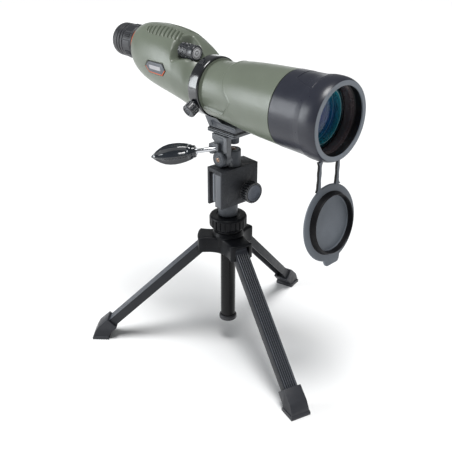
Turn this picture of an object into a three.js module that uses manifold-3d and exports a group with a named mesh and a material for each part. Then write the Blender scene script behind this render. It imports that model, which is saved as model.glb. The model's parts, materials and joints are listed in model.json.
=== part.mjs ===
// Spotting scope with an offset prism housing, on a compact tripod with a window clamp.
// Millimetres, +Z up, objective towards -Y. The origin is on the floor, below the middle of the object.
import * as THREE from 'three';
import { mergeVertices } from 'three/addons/utils/BufferGeometryUtils.js';
import Module from 'manifold-3d';

const wasm = await Module();
wasm.setup();

// ---- driving dimensions ----
const SHIFT = { x: -22.3, y: -10.9 };                // tripod axis seen from the origin
const AXIS = { x: 7.4, z: 322.2 };                  // optical axis: sideways offset and height
const OCULAR_RISE = 28.1;                           // eyepiece axis above the optical axis
const HOOD = { front: -146, rear: -88.3, bore: 34.4 };
const COLLAR = { rear: 37, front: 22, inner: 31.7, outer: 34 };
const LOCK = { angle: 28, y: 29.5, r: 8 };          // collar lock knob, degrees below the horizontal
const FOCUS = { x: -14, z: 36.5, front: 43.5, rear: 65.5, r: 8.2, scoop: 12.5 };
const FOOT_Z = -43.3;                               // underside of the collar foot, from the optical axis
const PIVOT = { y: 2.5, z: 246.5 };                 // tilt axis, along X
const HANDLE = { start: [-14, 11.2, 257.5], end: [-57.6, 65.6, 245] };
const CLAMP = { turn: -5, halfX: 27.4, halfY: 12.9, bottom: 191, top: 236.4, screwX: 8.6, screwZ: 207 };
const NUT = { bottom: 158.6, top: 175.8, r: 22.2 };
const COLUMN = { r: 9, bottom: 30.9, top: 183.6 };
const HUB = { bottom: 130.5, top: 150, arm: 36.6, half: 14.2, slot: 9, bossTop: 169 };
const LEG = { first: -107.1, pivotR: 27, pivotZ: 139, ankleR: 158, ankleZ: 12, half: 8.5, depth: 5.5 };
const CAP = { hingeY: -136, strapTop: -43.8, strapX: 14.7, fold: -69.3, drop: 42, lean: 7.8, r: 41.5 };
const GAP = 0.3;
const GROOVES = 4;                                  // grip grooves across the prism housing

// ---- colours ----
const paint = (color, roughness, metalness = 0) => new THREE.MeshStandardMaterial({ color, roughness,
  metalness });
const ARMOUR = paint(0x7f877a, 0.7);
const BLACK = paint(0x2b2d33, 0.5);
const GLOSS = paint(0x1c1e24, 0.2);
const RUBBER = paint(0x26282b, 0.85);
const GREY_RUBBER = paint(0x80868c, 0.75);
const CAST = paint(0x55585c, 0.6, 0.3);
const CLAMP_PAINT = paint(0x3f4144, 0.75);
const PLASTIC = paint(0x303338, 0.55);
const STEEL = paint(0xc9ccd0, 0.2, 1);
const COPPER = paint(0xb87352, 0.35, 1);
const ALUMINIUM = paint(0x9fa3a8, 0.35, 1);
const ORANGE = paint(0xd8621a, 0.5);
const GLASS = paint(0x6f8fa8, 0.05);

// ---- solids ----
function solid(geometry) {
  const g = geometry.clone();
  for (const name of ['normal', 'uv']) g.deleteAttribute(name);
  const m = mergeVertices(g, 1e-4);
  const p = m.attributes.position.array;
  const raw = m.index.array;
  const tris = [];
  let volume = 0;
  for (let i = 0; i < raw.length; i += 3) {
    const [a, b, c] = [raw[i], raw[i + 1], raw[i + 2]];
    if (a === b || b === c || a === c) continue;
    tris.push(a, b, c);
    const [ax, ay, az, bx, by, bz, cx, cy, cz] = [a, b,
      c].flatMap((k) => [p[3 * k], p[3 * k + 1], p[3 * k + 2]]);
    volume += ax * (by * cz - bz * cy) + ay * (bz * cx - bx * cz) + az * (bx * cy - by * cx);
  }
  if (volume < 0) for (let i = 0; i < tris.length; i += 3) [tris[i], tris[i + 1]] = [tris[i + 1], tris[i]];
  return new wasm.Manifold(new wasm.Mesh({
    numProp: 3, vertProperties: Float32Array.from(p), triVerts: Uint32Array.from(tris),
  }));
}

function geometryOf(manifold) {
  const m = manifold.getMesh();
  const g = new THREE.BufferGeometry();
  g.setAttribute('position', new THREE.BufferAttribute(Float32Array.from(m.vertProperties), 3));
  g.setIndex(new THREE.BufferAttribute(Uint32Array.from(m.triVerts), 1));
  g.computeVertexNormals();
  return g;
}

const join = (first, ...rest) => rest.reduce((a, b) => a.add(b), first);
const cut = (first, ...rest) => rest.reduce((a, b) => a.subtract(b), first);
const rad = THREE.MathUtils.degToRad;

// Outline [a, b] pushed along an axis: 'x' takes (y, z), 'y' takes (x, z), 'z' takes (x, y).
function push(outline, from, to, axis = 'z', bevel = 0) {
  const shape = new THREE.Shape(outline.map(([a, b]) => new THREE.Vector2(a, b)));
  const g = new THREE.ExtrudeGeometry(shape, {
    depth: to - from - 2 * bevel, steps: 1, curveSegments: 12,
    bevelEnabled: bevel > 0, bevelThickness: bevel, bevelSize: bevel, bevelOffset: -bevel, bevelSegments: 1,
  });
  g.translate(0, 0, from + bevel);
  const basis = {
    x: [[0, 1, 0], [0, 0, 1], [1, 0, 0]], y: [[1, 0, 0], [0, 0, 1], [0, 1, 0]], z: [[1, 0, 0], [0, 1, 0],
      [0, 0, 1]],
  }[axis].map((v) => new THREE.Vector3(...v));
  return solid(g.applyMatrix4(new THREE.Matrix4().makeBasis(...basis)));
}

const box = (x0, x1, y0, y1, z0, z1) => push([[x0, y0], [x1, y0], [x1, y1], [x0, y1]], z0, z1);

function roundRect(x0, x1, y0, y1, r, n = 4) {
  const corners = [[x1 - r, y1 - r, 0], [x0 + r, y1 - r, 90], [x0 + r, y0 + r, 180], [x1 - r, y0 + r, 270]];
  return corners.flatMap(([cx, cy, a0]) => Array.from({ length: n + 1 }, (_, i) => {
    const a = rad(a0 + (90 * i) / n);
    return [cx + r * Math.cos(a), cy + r * Math.sin(a)];
  }));
}

const ringOutline = (n, radius) => Array.from({ length: n }, (_, i) => {
  const r = typeof radius === 'function' ? radius(i) : radius;
  return [r * Math.cos((2 * Math.PI * i) / n), r * Math.sin((2 * Math.PI * i) / n)];
});

// Turned piece from [radius, height] pairs; closes on itself unless it starts and ends on the axis.
function turned(profile, axis = 'y', segments = 24) {
  const pts = profile.map(([r, h]) => new THREE.Vector2(Math.max(r, 0), h));
  const open = profile[0][0] > 1e-6 || profile[profile.length - 1][0] > 1e-6;
  if (open) pts.push(pts[0].clone());
  const g = new THREE.LatheGeometry(pts, segments);
  if (axis === 'z') g.rotateX(Math.PI / 2);
  if (axis === 'x') g.rotateZ(-Math.PI / 2);
  return solid(g);
}

const rod = (r, h0, h1, axis = 'y', segments = 18) => turned([[0, h0], [r, h0], [r, h1], [0, h1]], axis,
  segments);
const pipe = (r0, r1, h0, h1, axis = 'y', segments = 24) => turned([[r0, h0], [r1, h0], [r1, h1],
  [r0, h1]], axis, segments);

// Gripped cylinder with n straight ribs.
function ribbed(r, depth, n, h0, h1, axis = 'y') {
  return push(ringOutline(n * 4, (i) => (i % 4 < 2 ? r : r - depth)), h0, h1, axis);
}

const at = (m, x, y, z) => m.translate([x, y, z]);

function piece(parent, name, manifold, material) {
  const mesh = new THREE.Mesh(geometryOf(manifold), material);
  mesh.name = name;
  parent.add(mesh);
  return mesh;
}

// ---- groups ----
const group = new THREE.Group();
group.position.set(SHIFT.x, SHIFT.y, 0);
const scope = new THREE.Group();
scope.position.set(AXIS.x, 0, AXIS.z);
const clamp = new THREE.Group();
clamp.position.set(AXIS.x, 0, 0);
clamp.rotation.z = rad(CLAMP.turn);
const head = new THREE.Group();
const tripod = new THREE.Group();
group.add(scope, head, clamp, tripod);

// ---- scope body ----
// Stations: y, top, bottom, half width of the armoured body.
const STATIONS = [
  [-88, 40.3, -40.3, 40.3], [-50, 38.3, -38.3, 38.3], [-28, 36.6, -36.6, 36.6], [-4, 33.8, -33.8, 33.8],
  [20.6, 32.4, -32.4, 32.4], [21.6, 31.4, -31.4, 31.4],
  [37.4, 31.4, -31.4, 31.4], [41, 35, -31, 31.8], [47.5, 41.4, -29.3, 33], [53, 45.3, -28.1, 33.6],
  [59, 48.1, -26.9, 34.2], [67, 51.6, -24.9, 34.9], [80, 54.2, -22.2, 35], [92, 55.8, -19.9, 34.8],
  [101, 56.4, -18.2, 34.5], [115, 56.6, -15.3, 33.5], [124, 56.5, -12.8, 32.4], [132, 55.9, -9.8, 30.8],
  [138, 55, -6.9, 28.9], [143, 53.6, -3.4, 26.7], [146.4, 51.9, 1.2, 24.2], [148, 50, 5.2, 22.3],
];

function sectionAt(y) {
  let i = 0;
  while (i < STATIONS.length - 2 && STATIONS[i + 1][0] < y) i += 1;
  const [a, b] = [STATIONS[i], STATIONS[i + 1]];
  const t = THREE.MathUtils.clamp((y - a[0]) / (b[0] - a[0]), 0, 1);
  return a.map((v, k) => v + t * (b[k] - v));
}

// Closed skin through the stations between two ends, moved outwards by `grow`.
function skin(grow, from, to, segments = 24) {
  const ys = [from, ...STATIONS.map((s) => s[0]).filter((y) => y > from + 0.5 && y < to - 0.5), to];
  const position = [];
  const index = [];
  for (const y of ys) {
    const [, top, bottom, half] = sectionAt(y);
    const zc = (top + bottom) / 2;
    const h = (top - bottom) / 2 + grow;
    for (let k = 0; k < segments; k += 1) {
      const a = (2 * Math.PI * k) / segments;
      position.push((half + grow) * Math.cos(a), y, zc + h * Math.sin(a));
    }
  }
  for (let j = 0; j < ys.length - 1; j += 1) {
    for (let k = 0; k < segments; k += 1) {
      const [a, b] = [j * segments + k, j * segments + ((k + 1) % segments)];
      index.push(a, b, a + segments, b, b + segments, a + segments);
    }
  }
  for (const [row, y] of [[0, from], [ys.length - 1, to]]) {
    const [, top, bottom] = sectionAt(y);
    position.push(0, y, (top + bottom) / 2);
    const c = position.length / 3 - 1;
    for (let k = 0; k < segments; k += 1) {
      const [a, b] = [row * segments + k, row * segments + ((k + 1) % segments)];
      index.push(...(row === 0 ? [c, b, a] : [c, a, b]));
    }
  }
  const g = new THREE.BufferGeometry();
  g.setAttribute('position', new THREE.Float32BufferAttribute(position, 3));
  g.setIndex(index);
  return solid(g);
}

const BADGE = [[-19, 0], [-13.5, 7.6], [13.5, 7.2], [19, 0], [12.5, -7.4], [-12.5, -7.6]];
const badgeBlank = (scale) => push(BADGE.map(([a, b]) => [90.5 + a * scale, 15 + b * scale]), -60, -15, 'x');

function makeBody() {
  const scoop = (r, rear) => at(rod(r, 38.4, rear, 'y', 20), FOCUS.x, 0, FOCUS.z);
  let outer = cut(skin(0, -88, 148), scoop(FOCUS.scoop, 69));
  for (let i = 0; i < GROOVES; i += 1) {
    const y = 84 + 12 * i;
    outer = outer.subtract(box(-40, 12, y, y + 2.2, 34 - i * 0.4, 70).subtract(skin(-0.9, 76, 140)));
  }
  outer = outer.subtract(badgeBlank(1.03).subtract(skin(-1.3, 60, 130)));
  const inner = cut(skin(-3.2, -70, 143, 16), scoop(FOCUS.scoop + 3, 72.2));
  return cut(outer, inner, rod(37.8, -89, -70 + 0.01, 'y', 30), at(rod(17.3, 138, 150), 0, 0, OCULAR_RISE),
    at(rod(3, 60, 80, 'y', 12), FOCUS.x, 0, FOCUS.z));
}

function makeBaffle() {
  const steps = [];
  for (let i = 0; i < 3; i += 1) {
    const y = -69 + i * 22;
    const r = 35.2 - i * 3.3;
    steps.push([r - 1.4, y], [r - 3.4, y + 0.9], [r - 1.8, y + 2.2]);
  }
  const wall = [[25.6, -4], [26.8, -4], [35.5, -69.8]];
  return turned([...steps, ...wall], 'y', 24);
}

piece(scope, 'body_shell', makeBody(), ARMOUR);
piece(scope, 'baffle_tube', makeBaffle(), BLACK);
piece(scope, 'name_badge', badgeBlank(1).intersect(skin(0.5, 60, 130)).subtract(skin(-1, 60, 130)), PLASTIC);

// ---- objective end ----
piece(scope, 'objective_hood', turned([
  [37.5, -74], [37.5, HOOD.rear], [40.4, HOOD.rear], [41.9, -116], [42.9, -126], [43, -137], [42.6, -142.5],
  [41.7, -145.6], [40.6, -147.1], [40.6, -145], [37.4, -145], [36.8, -139.5], [35.2, -139.5], [HOOD.bore,
    -133],
  [HOOD.bore, -125.5], [35.6, -125.5], [35.6, -96.4], [HOOD.bore, -96.4], [HOOD.bore, -74],
], 'y', 30), GLOSS);
piece(scope, 'rim_ring', turned([[35.2, -147.5], [40.2, -147.5], [40.2, -145.4], [35.2, -145.4]], 'y', 30),
  GREY_RUBBER);
piece(scope, 'objective_cell', turned([[35.3, -125.2], [35.3, -96.9], [30.5, -96.9], [30.5, -98.6],
  [32.8, -98.6],
  [32.8, -125.2]], 'y', 28), ALUMINIUM);
piece(scope, 'objective_front_lens', turned([[0, -121.5], [18, -119.9], [32.4, -115.4], [32.4, -112.4],
  [18, -109.4],
  [0, -108.4]], 'y', 28), GLASS);
piece(scope, 'objective_rear_lens', turned([[0, -107.9], [18, -108.9], [32.4, -111.9], [32.4, -99], [28, -99],
  [0, -102.4]], 'y', 28), GLASS);
piece(scope, 'objective_retainer', pipe(30.9, 32.5, -119.6, -116.2, 'y', 28), BLACK);

// ---- lens cap on its strap ----
function makeStrap() {
  const [y0, y1] = [CAP.hingeY - 1.5, CAP.hingeY + 1.5];
  const bar = (s) => push([[s * CAP.strapX - 2.4, CAP.strapTop - 2], [s * CAP.strapX + 2.4, CAP.strapTop - 2],
    [s * CAP.strapX + 2.4, CAP.fold + 1.7], [s * CAP.strapX - 2.4, CAP.fold + 1.7]], y0, y1, 'y', 0.5);
  const bridge = push([[-17.1, CAP.strapTop - 3], [17.1, CAP.strapTop - 3], [17.1, CAP.strapTop - 0.6],
    [-17.1, CAP.strapTop - 0.6]], y0 + 0.2, y1 - 0.2, 'y');
  return join(bridge, bar(-1), bar(1));
}

// The cap is made hanging straight down, then leaned forward about the line where it folds on the straps.
function makeCap() {
  const { drop: c, r } = CAP;
  const tab = push([[-13, -c - r + 4], [13, -c - r + 4], [11.6, -c - r - 2], [9.2, -c - r - 5],
    [-9.2, -c - r - 5],
    [-11.6, -c - r - 2]], -1.2, 1.4, 'y', 0.5);
  const disc = at(turned([[0, -0.4], [31.4, -0.4], [31.4, -7], [32.6, -7.6], [33.6, -7], [33.6, -1.2],
    [r - 0.6, -1.2],
    [r, -0.6], [r, 0.8], [r - 0.6, 1.4], [0, 1.4]], 'y', 30), 0, 0, -c);
  const ear = (s) => box(s * CAP.strapX - 2.4, s * CAP.strapX + 2.4, -1.2, 1.4, -6, 0);
  return at(join(disc, tab, ear(-1), ear(1)).rotate([-CAP.lean, 0, 0]), 0, CAP.hingeY, CAP.fold);
}

piece(scope, 'cap_strap', makeStrap(), GREY_RUBBER);
piece(scope, 'lens_cap', makeCap(), GREY_RUBBER);

// ---- focusing ----
piece(scope, 'focus_knob', at(join(
  ribbed(FOCUS.r, 0.6, 12, FOCUS.front + 1.6, FOCUS.rear),
  turned([[5.9, FOCUS.front], [7.4, FOCUS.front], [8, FOCUS.front + 0.7], [8, FOCUS.front + 2],
    [5.9, FOCUS.front + 2]], 'y', 24),
  rod(2.6, FOCUS.rear - 1, 88, 'y', 12),
), FOCUS.x, 0, FOCUS.z), BLACK);
piece(scope, 'focus_knob_disc', at(rod(5.6, FOCUS.front + 0.3, FOCUS.front + 1.3, 'y', 20), FOCUS.x, 0,
  FOCUS.z), STEEL);

function makeCarriage() {
  const nut = at(rod(6, 79, 86), FOCUS.x, 0, FOCUS.z);
  const arm = push([[-17.5, 38], [-8, 40], [6, 14], [-12, 11]], 79, 82, 'y');
  const cell = pipe(14.3, 17, 56, 82, 'y', 24);
  const lip = pipe(12.5, 15, 56, 57.6, 'y', 24);
  return cut(join(nut, arm, cell, lip), at(rod(2.7, 70, 95, 'y', 12), FOCUS.x, 0, FOCUS.z),
    rod(14.3, 57.6, 90, 'y', 24));
}

piece(scope, 'focus_carriage', makeCarriage(), ALUMINIUM);
piece(scope, 'focus_lens', turned([[0, 59.2], [14, 57.9], [14, 62.4], [0, 61.2]], 'y', 20), GLASS);

// ---- prisms: two right-angle prisms set at plus and minus 45 degrees ----
function makePrism(side, flat, apex, x, z) {
  const half = 17;
  const wedge = push([[-half, flat], [half, flat], [0, apex]], -7.5, 7.5, 'z');   // x along the hypotenuse
  return at(wedge.rotate([0, side * -45, 0]), x, 0, z);
}

piece(scope, 'prism_front', makePrism(-1, 107.4, 90.4, 7.05, 21.1), GLASS);
piece(scope, 'prism_rear', makePrism(1, 109.6, 126.6, 7.05, 7.1), GLASS);

function makeCage() {
  const plate = skin(-4.2, 107.8, 109.2, 20);
  const window = (x, z) => at(rod(7, 100, 115, 'y', 16), x, 0, z);
  return cut(plate, window(14, 14.1), window(0, 28.1), window(0, 0));
}

piece(scope, 'prism_cage', makeCage(), ALUMINIUM);

// ---- eyepiece ----
const ocular = new THREE.Group();
ocular.position.set(0, 0, OCULAR_RISE);
scope.add(ocular);
piece(ocular, 'eyepiece_barrel', turned([[15.2, 141], [17, 141], [17, 148.3], [20.4, 148.3], [20.4, 149.9],
  [17, 149.9],
  [17, 185.4], [16.4, 186], [13.2, 186], [13.2, 183.2], [15.2, 183.2]]), BLACK);
piece(ocular, 'orange_ring', turned([[17.3, 150.2], [20.5, 150.2], [20.7, 150.8], [20.5, 151.6],
  [17.3, 151.6]]), ORANGE);

function makeZoomRing() {
  const core = turned([[17.3, 152], [20, 152], [20.2, 153], [20.2, 169.6], [19.4, 170.4], [17.3, 170.4]]);
  const pads = [];
  for (let k = 0; k < 6; k += 1) {
    pads.push(box(-5.6, 5.6, 154.4, 168, 19, 20.9).rotate([0, 60 * k, 0]));
    pads.push(box(-0.8, 0.8, 155.6, 166.8, 19, 21.3).rotate([0, 60 * k + 30, 0]));
  }
  return join(core, ...pads);
}

piece(ocular, 'zoom_ring', makeZoomRing(), RUBBER);
piece(ocular, 'zoom_cell', turned([[12.6, 156], [14.9, 156], [14.9, 166], [12.2, 166], [12.2, 164.6],
  [12.6, 164.6]]), ALUMINIUM);
piece(ocular, 'field_lens', turned([[0, 158.2], [12.3, 160], [12.3, 163.4], [0, 164.2]], 'y', 20), GLASS);
piece(ocular, 'eye_lens', turned([[0, 176.2], [14.9, 178.4], [14.9, 182.8], [0, 182.2]], 'y', 20), GLASS);
piece(ocular, 'eyecup', turned([[17.3, 170.8], [19.9, 171.2], [19.9, 174.4], [19.2, 175], [19.2, 176],
  [19.9, 176.6],
  [19.8, 187], [18.6, 189.6], [17.2, 190], [14.6, 189.2], [14.2, 187.6], [15.4, 186.6], [17.3,
    186.6]]), RUBBER);

// ---- rotating collar and its foot ----
function makeCollar() {
  const ring = turned([[COLLAR.inner, COLLAR.front], [33.4, COLLAR.front], [COLLAR.outer, COLLAR.front + 1],
    [COLLAR.outer, COLLAR.rear - 1], [33.4, COLLAR.rear], [COLLAR.inner, COLLAR.rear]], 'y', 30);
  const boss = at(rod(5.6, -35.2, -30, 'x', 16).rotate([0, -LOCK.angle, 0]), 0, LOCK.y, 0);
  return cut(join(ring, boss), rod(COLLAR.inner, 15, 45, 'y', 30),
    at(rod(2.4, -50, -20, 'x', 12).rotate([0, -LOCK.angle, 0]), 0, LOCK.y, 0));
}

function makeFoot() {
  const side = [[36.4, -27], [34, -31.5], [26.5, FOOT_Z], [-15, FOOT_Z], [-15, -37], [6, -36.2], [21, -30],
    [22, -27]];
  const cheek = push(side, -11.5, 11.5, 'x', 0.6);
  return cut(cheek, rod(34.3, 10, 50, 'y', 30), at(rod(2.7, -60, -37.5, 'z', 12), 0, -1.5, 0));
}

piece(scope, 'collar_ring', makeCollar(), GLOSS);
piece(scope, 'collar_foot', makeFoot(), PLASTIC);
piece(scope, 'collar_lock_knob', at(join(ribbed(LOCK.r, 0.6, 12, -46, -35.6, 'x'),
  rod(2.2, -36, -31.9, 'x', 12)).rotate([0, -LOCK.angle, 0]), 0, LOCK.y, 0), BLACK);

// ---- head: platform, tilting bracket, panning base, handle ----
const PLATE = { bottom: 274, top: AXIS.z + FOOT_Z - 1.5 };
piece(head, 'platform', cut(push(roundRect(-6.6, 21.4, -16, 28, 3), PLATE.bottom, PLATE.top, 'z', 0.5),
  at(rod(3.6, 270, 285, 'z', 16), AXIS.x, -1.5, 0)), CAST);
piece(head, 'platform_pad', cut(push(roundRect(-5.6, 20.4, -15, 27, 2.5), PLATE.top + 0.2,
  AXIS.z + FOOT_Z - 0.2, 'z'),
  at(rod(3.6, 270, 285, 'z', 16), AXIS.x, -1.5, 0)), RUBBER);
piece(head, 'mount_screw', at(join(ribbed(6.2, 0.6, 10, 262.5, 271, 'z'), rod(3.2, 270.5, 273.7, 'z', 16),
  rod(2.5, 272, 284.4, 'z', 12)), AXIS.x, -1.5, 0), PLASTIC);

function makeBracket() {
  const { y, z } = PIVOT;
  const lobe = at(rod(10, -8.9, -3.2, 'x', 20), 0, y, z);
  const web = push([[y - 9.8, z], [y + 9.8, z], [10, 262], [17, 268], [17, 273.7], [-8, 273.7], [-8, 256]],
    -8.9, -3.2, 'x');
  const shelf = push([[-8, 270.4], [17, 270.4], [17, 273.7], [-8, 273.7]], -8.9, 0.4, 'x');
  const boss = push([[3.5, 252.8], [16, 250.6], [18.6, 253.6], [17.4, 263], [3.5, 265]], -17.4, -3.2, 'x',
    0.8);
  const dir = new THREE.Vector3(...HANDLE.end).sub(new THREE.Vector3(...HANDLE.start)).normalize();
  const start = new THREE.Vector3(...HANDLE.start);
  const bore = solid(new THREE.CylinderGeometry(3.1, 3.1, 30, 24)
    .applyQuaternion(new THREE.Quaternion().setFromUnitVectors(new THREE.Vector3(0, 1, 0), dir))
    .translate(start.x + dir.x * 9, start.y + dir.y * 9, start.z + dir.z * 9));
  return cut(join(lobe, web, shelf, boss), at(rod(3, -30, 5, 'x', 12), 0, y, z), bore,
    at(rod(10, -30, -9.2, 'x', 20), 0, y, z));
}

piece(head, 'tilt_bracket', makeBracket(), CAST);
piece(head, 'tilt_cheek', cut(at(turned([[0, -13.6], [8.6, -13.6], [9.4, -12.8], [9.4, -9.2], [0, -9.2]],
  'x', 20), 0, PIVOT.y, PIVOT.z),
  at(rod(3, -20, 0, 'x', 12), 0, PIVOT.y, PIVOT.z)), CAST);

function crossHead(r, top, depth, axis) {
  const slots = [box(-r, r, -0.45, 0.45, -1, 1), box(-0.45, 0.45, -r, r, -1, 1)];
  const turn = { x: [0, 90, 0], z: [0, 0, 0] }[axis];
  const shift = { x: [top, 0, 0], z: [0, 0, top] }[axis];
  return slots.map((s) => s.rotate(turn).translate(shift));
}

function makeTiltScrew() {
  const shank = rod(2.7, -14, -2.4, 'x', 12);
  const cap = turned([[0, -15.4], [2, -15.2], [3.4, -14.4], [3.4, -13.9], [0, -13.9]], 'x', 16);
  return at(cut(join(shank, cap), ...crossHead(2, -15.5, 1, 'x')), 0, PIVOT.y, PIVOT.z);
}

function makePanBase() {
  const post = at(turned([[0, 236.7], [10.4, 236.7], [9.6, 239], [9.4, 254.6], [8.4, 255.6], [4.4, 255.6],
    [4.4, 254.2],
    [0, 254.2]], 'z', 20), AXIS.x, 0, 0);
  const ear = at(rod(9.2, -2.9, 3, 'x', 20), 0, PIVOT.y, PIVOT.z);
  const lower = push([[-6.5, 237], [9, 237], [11.4, 243], [11.4, 249], [-6.5, 249]], -2.9, 4, 'x');
  return cut(join(post, ear, lower.intersect(ear.add(box(-2.9, 4, -6.5, 11.4, 239, 249)))),
    at(rod(2.9, -30, -1.5, 'x', 12), 0, PIVOT.y, PIVOT.z), at(rod(2.4, 230, 260, 'z', 12), AXIS.x, 0, 0));
}

piece(head, 'tilt_screw', makeTiltScrew(), COPPER);
piece(head, 'pan_base', makePanBase(), CAST);
piece(head, 'pan_screw', at(cut(join(rod(2.1, 238, 254.8, 'z', 12),
  turned([[0, 254.5], [4, 254.5], [4, 255.3], [2.6, 256.3], [0, 256.6]], 'z',
    16)), ...crossHead(2.2, 256.7, 1, 'z')), AXIS.x, 0, 0), COPPER);

// Handle pieces are made along +Y and then laid on the handle line.
function layHandle(manifold) {
  const a = new THREE.Vector3(...HANDLE.start);
  const dir = new THREE.Vector3(...HANDLE.end).sub(a).normalize();
  const q = new THREE.Quaternion().setFromUnitVectors(new THREE.Vector3(0, 1, 0), dir);
  const g = geometryOf(manifold).applyQuaternion(q).translate(a.x, a.y, a.z);
  return solid(g);
}

const FLUTES = 6;
// Grip stations: distance along the handle, crest radius, flute depth.
const GRIP = [[18.6, 6.4, 0], [20, 7, 0], [23, 7, 0], [27, 10.2, 0.7], [34, 12, 1.5], [42, 12.4, 1.9],
  [50, 11.6, 1.7],
  [58, 9.7, 0.9], [65, 6.4, 0.2], [70, 2.4, 0]];
function makeGrip() {
  const n = FLUTES * 4;
  const rings = GRIP.map(([y, r, flute]) => ringOutline(n,
    (i) => r - flute * [0, 0.6, 1, 0.6][i % 4]).map(([x, z]) => [x, y, z]));
  const position = [...rings.flat(2), 0, 18.6, 0, 0, 70.6, 0];
  const last = (GRIP.length - 1) * n;
  const index = [];
  for (let k = 0; k < n; k += 1) {
    const next = (k + 1) % n;
    for (let j = 0; j < last; j += n) index.push(j + k, j + next, j + n + k, j + next, j + n + next,
      j + n + k);
    index.push(last + n, next, k, last + n + 1, last + k, last + next);
  }
  const g = new THREE.BufferGeometry();
  g.setAttribute('position', new THREE.Float32BufferAttribute(position, 3));
  g.setIndex(index);
  return cut(solid(g), rod(2.9, 10, 60, 'y', 16));
}

piece(head, 'handle_rod', layHandle(rod(2.6, -4, 59.6, 'y', 16)), STEEL);
piece(head, 'handle_grip', layHandle(makeGrip()), GLOSS);

// ---- window clamp ----
const { halfX: CX, halfY: CY, bottom: CB, top: CT } = CLAMP;
function makeClampFrame() {
  const blank = push(roundRect(-CX, CX, -CY, CY, 1.2, 3), CB, CT, 'z', 0.4);
  const slot = box(-CX - 2, CX + 2, -1.2, 9.1, CB - 2, CT - 4);
  const screwBore = at(rod(3.2, -20, 5, 'y', 16), CLAMP.screwX, 0, CLAMP.screwZ);
  const panBore = rod(2.4, CT - 5, CT + 5, 'z', 12);
  return cut(blank, slot, screwBore, panBore);
}

function makeJaw() {
  const plate = push(roundRect(-25.6, 25.6, 194.6, 230.6, 2, 3), 1.8, 4.9, 'y', 0.4);
  const hub = at(pipe(3.1, 5, 0.4, 2.4, 'y', 20), CLAMP.screwX, 0, CLAMP.screwZ);
  return cut(plate, at(rod(3.1, 0, 3.9, 'y', 16), CLAMP.screwX, 0,
    CLAMP.screwZ)).add(hub.intersect(box(-30, 30, 0.7, 3, 190, 230)));
}

piece(clamp, 'clamp_frame', makeClampFrame(), CLAMP_PAINT);
piece(clamp, 'jaw_plate', makeJaw(), CAST);
piece(clamp, 'jaw_pad', push(roundRect(-25, 25, 195.2, 230, 2, 3), 5.2, 6.2, 'y'), RUBBER);
piece(clamp, 'wall_pad', push(roundRect(-25, 25, 195.2, 230, 2, 3), 7.9, 8.8, 'y'), RUBBER);

const screw = (m) => at(m, CLAMP.screwX, 0, CLAMP.screwZ);
piece(clamp, 'clamp_screw', screw(rod(2.8, -24.6, 3.6, 'y', 16)), STEEL);
function makeClampKnob() {
  const grip = ribbed(12.6, 1, 14, -28.4, -17.6);
  const neck = rod(6, -18, -16, 'y', 20);
  return screw(cut(join(grip, neck), rod(3.1, -25, -10, 'y', 16),
    turned([[0, -29], [10.6, -29], [10.6, -28.2], [9.6, -26.8], [5, -25.4], [0, -25]], 'y', 20)));
}

piece(clamp, 'clamp_knob', makeClampKnob(), BLACK);
piece(clamp, 'clamp_knob_insert', screw(turned([[0, -26.4], [4.6, -26.8], [8.6, -27.9], [10, -28.2],
  [9.2, -27.2],
  [4.9, -25.8], [0, -25.3]], 'y', 20)), ALUMINIUM);

// ---- column, post and lock nut ----
piece(tripod, 'post', turned([[0, 184], [9.3, 184], [9.3, NUT.top + 0.4], [11.4, NUT.top + 0.4],
  [11.4, CB - GAP],
  [0, CB - GAP]], 'z', 24), CAST);
piece(tripod, 'centre_column', turned([[0, COLUMN.top], [COLUMN.r, COLUMN.top], [COLUMN.r, 37.5],
  [7.4, 37.5], [7.4, 178],
  [0, 178]], 'z', 20), GLOSS);
piece(tripod, 'column_cap', turned([[0, COLUMN.bottom], [10, COLUMN.bottom], [10.8, 31.8], [10.8, 36.2],
  [10, 37.2],
  [7.1, 37.2], [7.1, 48], [0, 48]], 'z', 20), RUBBER);

function makeNut() {
  const outline = ringOutline(48, (i) => (i % 4 < 2 ? NUT.r : NUT.r - 1.1));
  const ribs = push(outline, NUT.bottom, NUT.top);
  const hull = turned([[0, NUT.bottom], [17.4, NUT.bottom], [19, 161], [21.2, 163], [NUT.r, 166],
    [NUT.r, 172.6],
    [20.6, NUT.top], [0, NUT.top]], 'z', 24);
  return cut(ribs.intersect(hull), rod(15.4, 150, 170, 'z', 24), rod(9.4, 165, 180, 'z', 20));
}

piece(tripod, 'lock_nut', makeNut(), PLASTIC);

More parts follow.
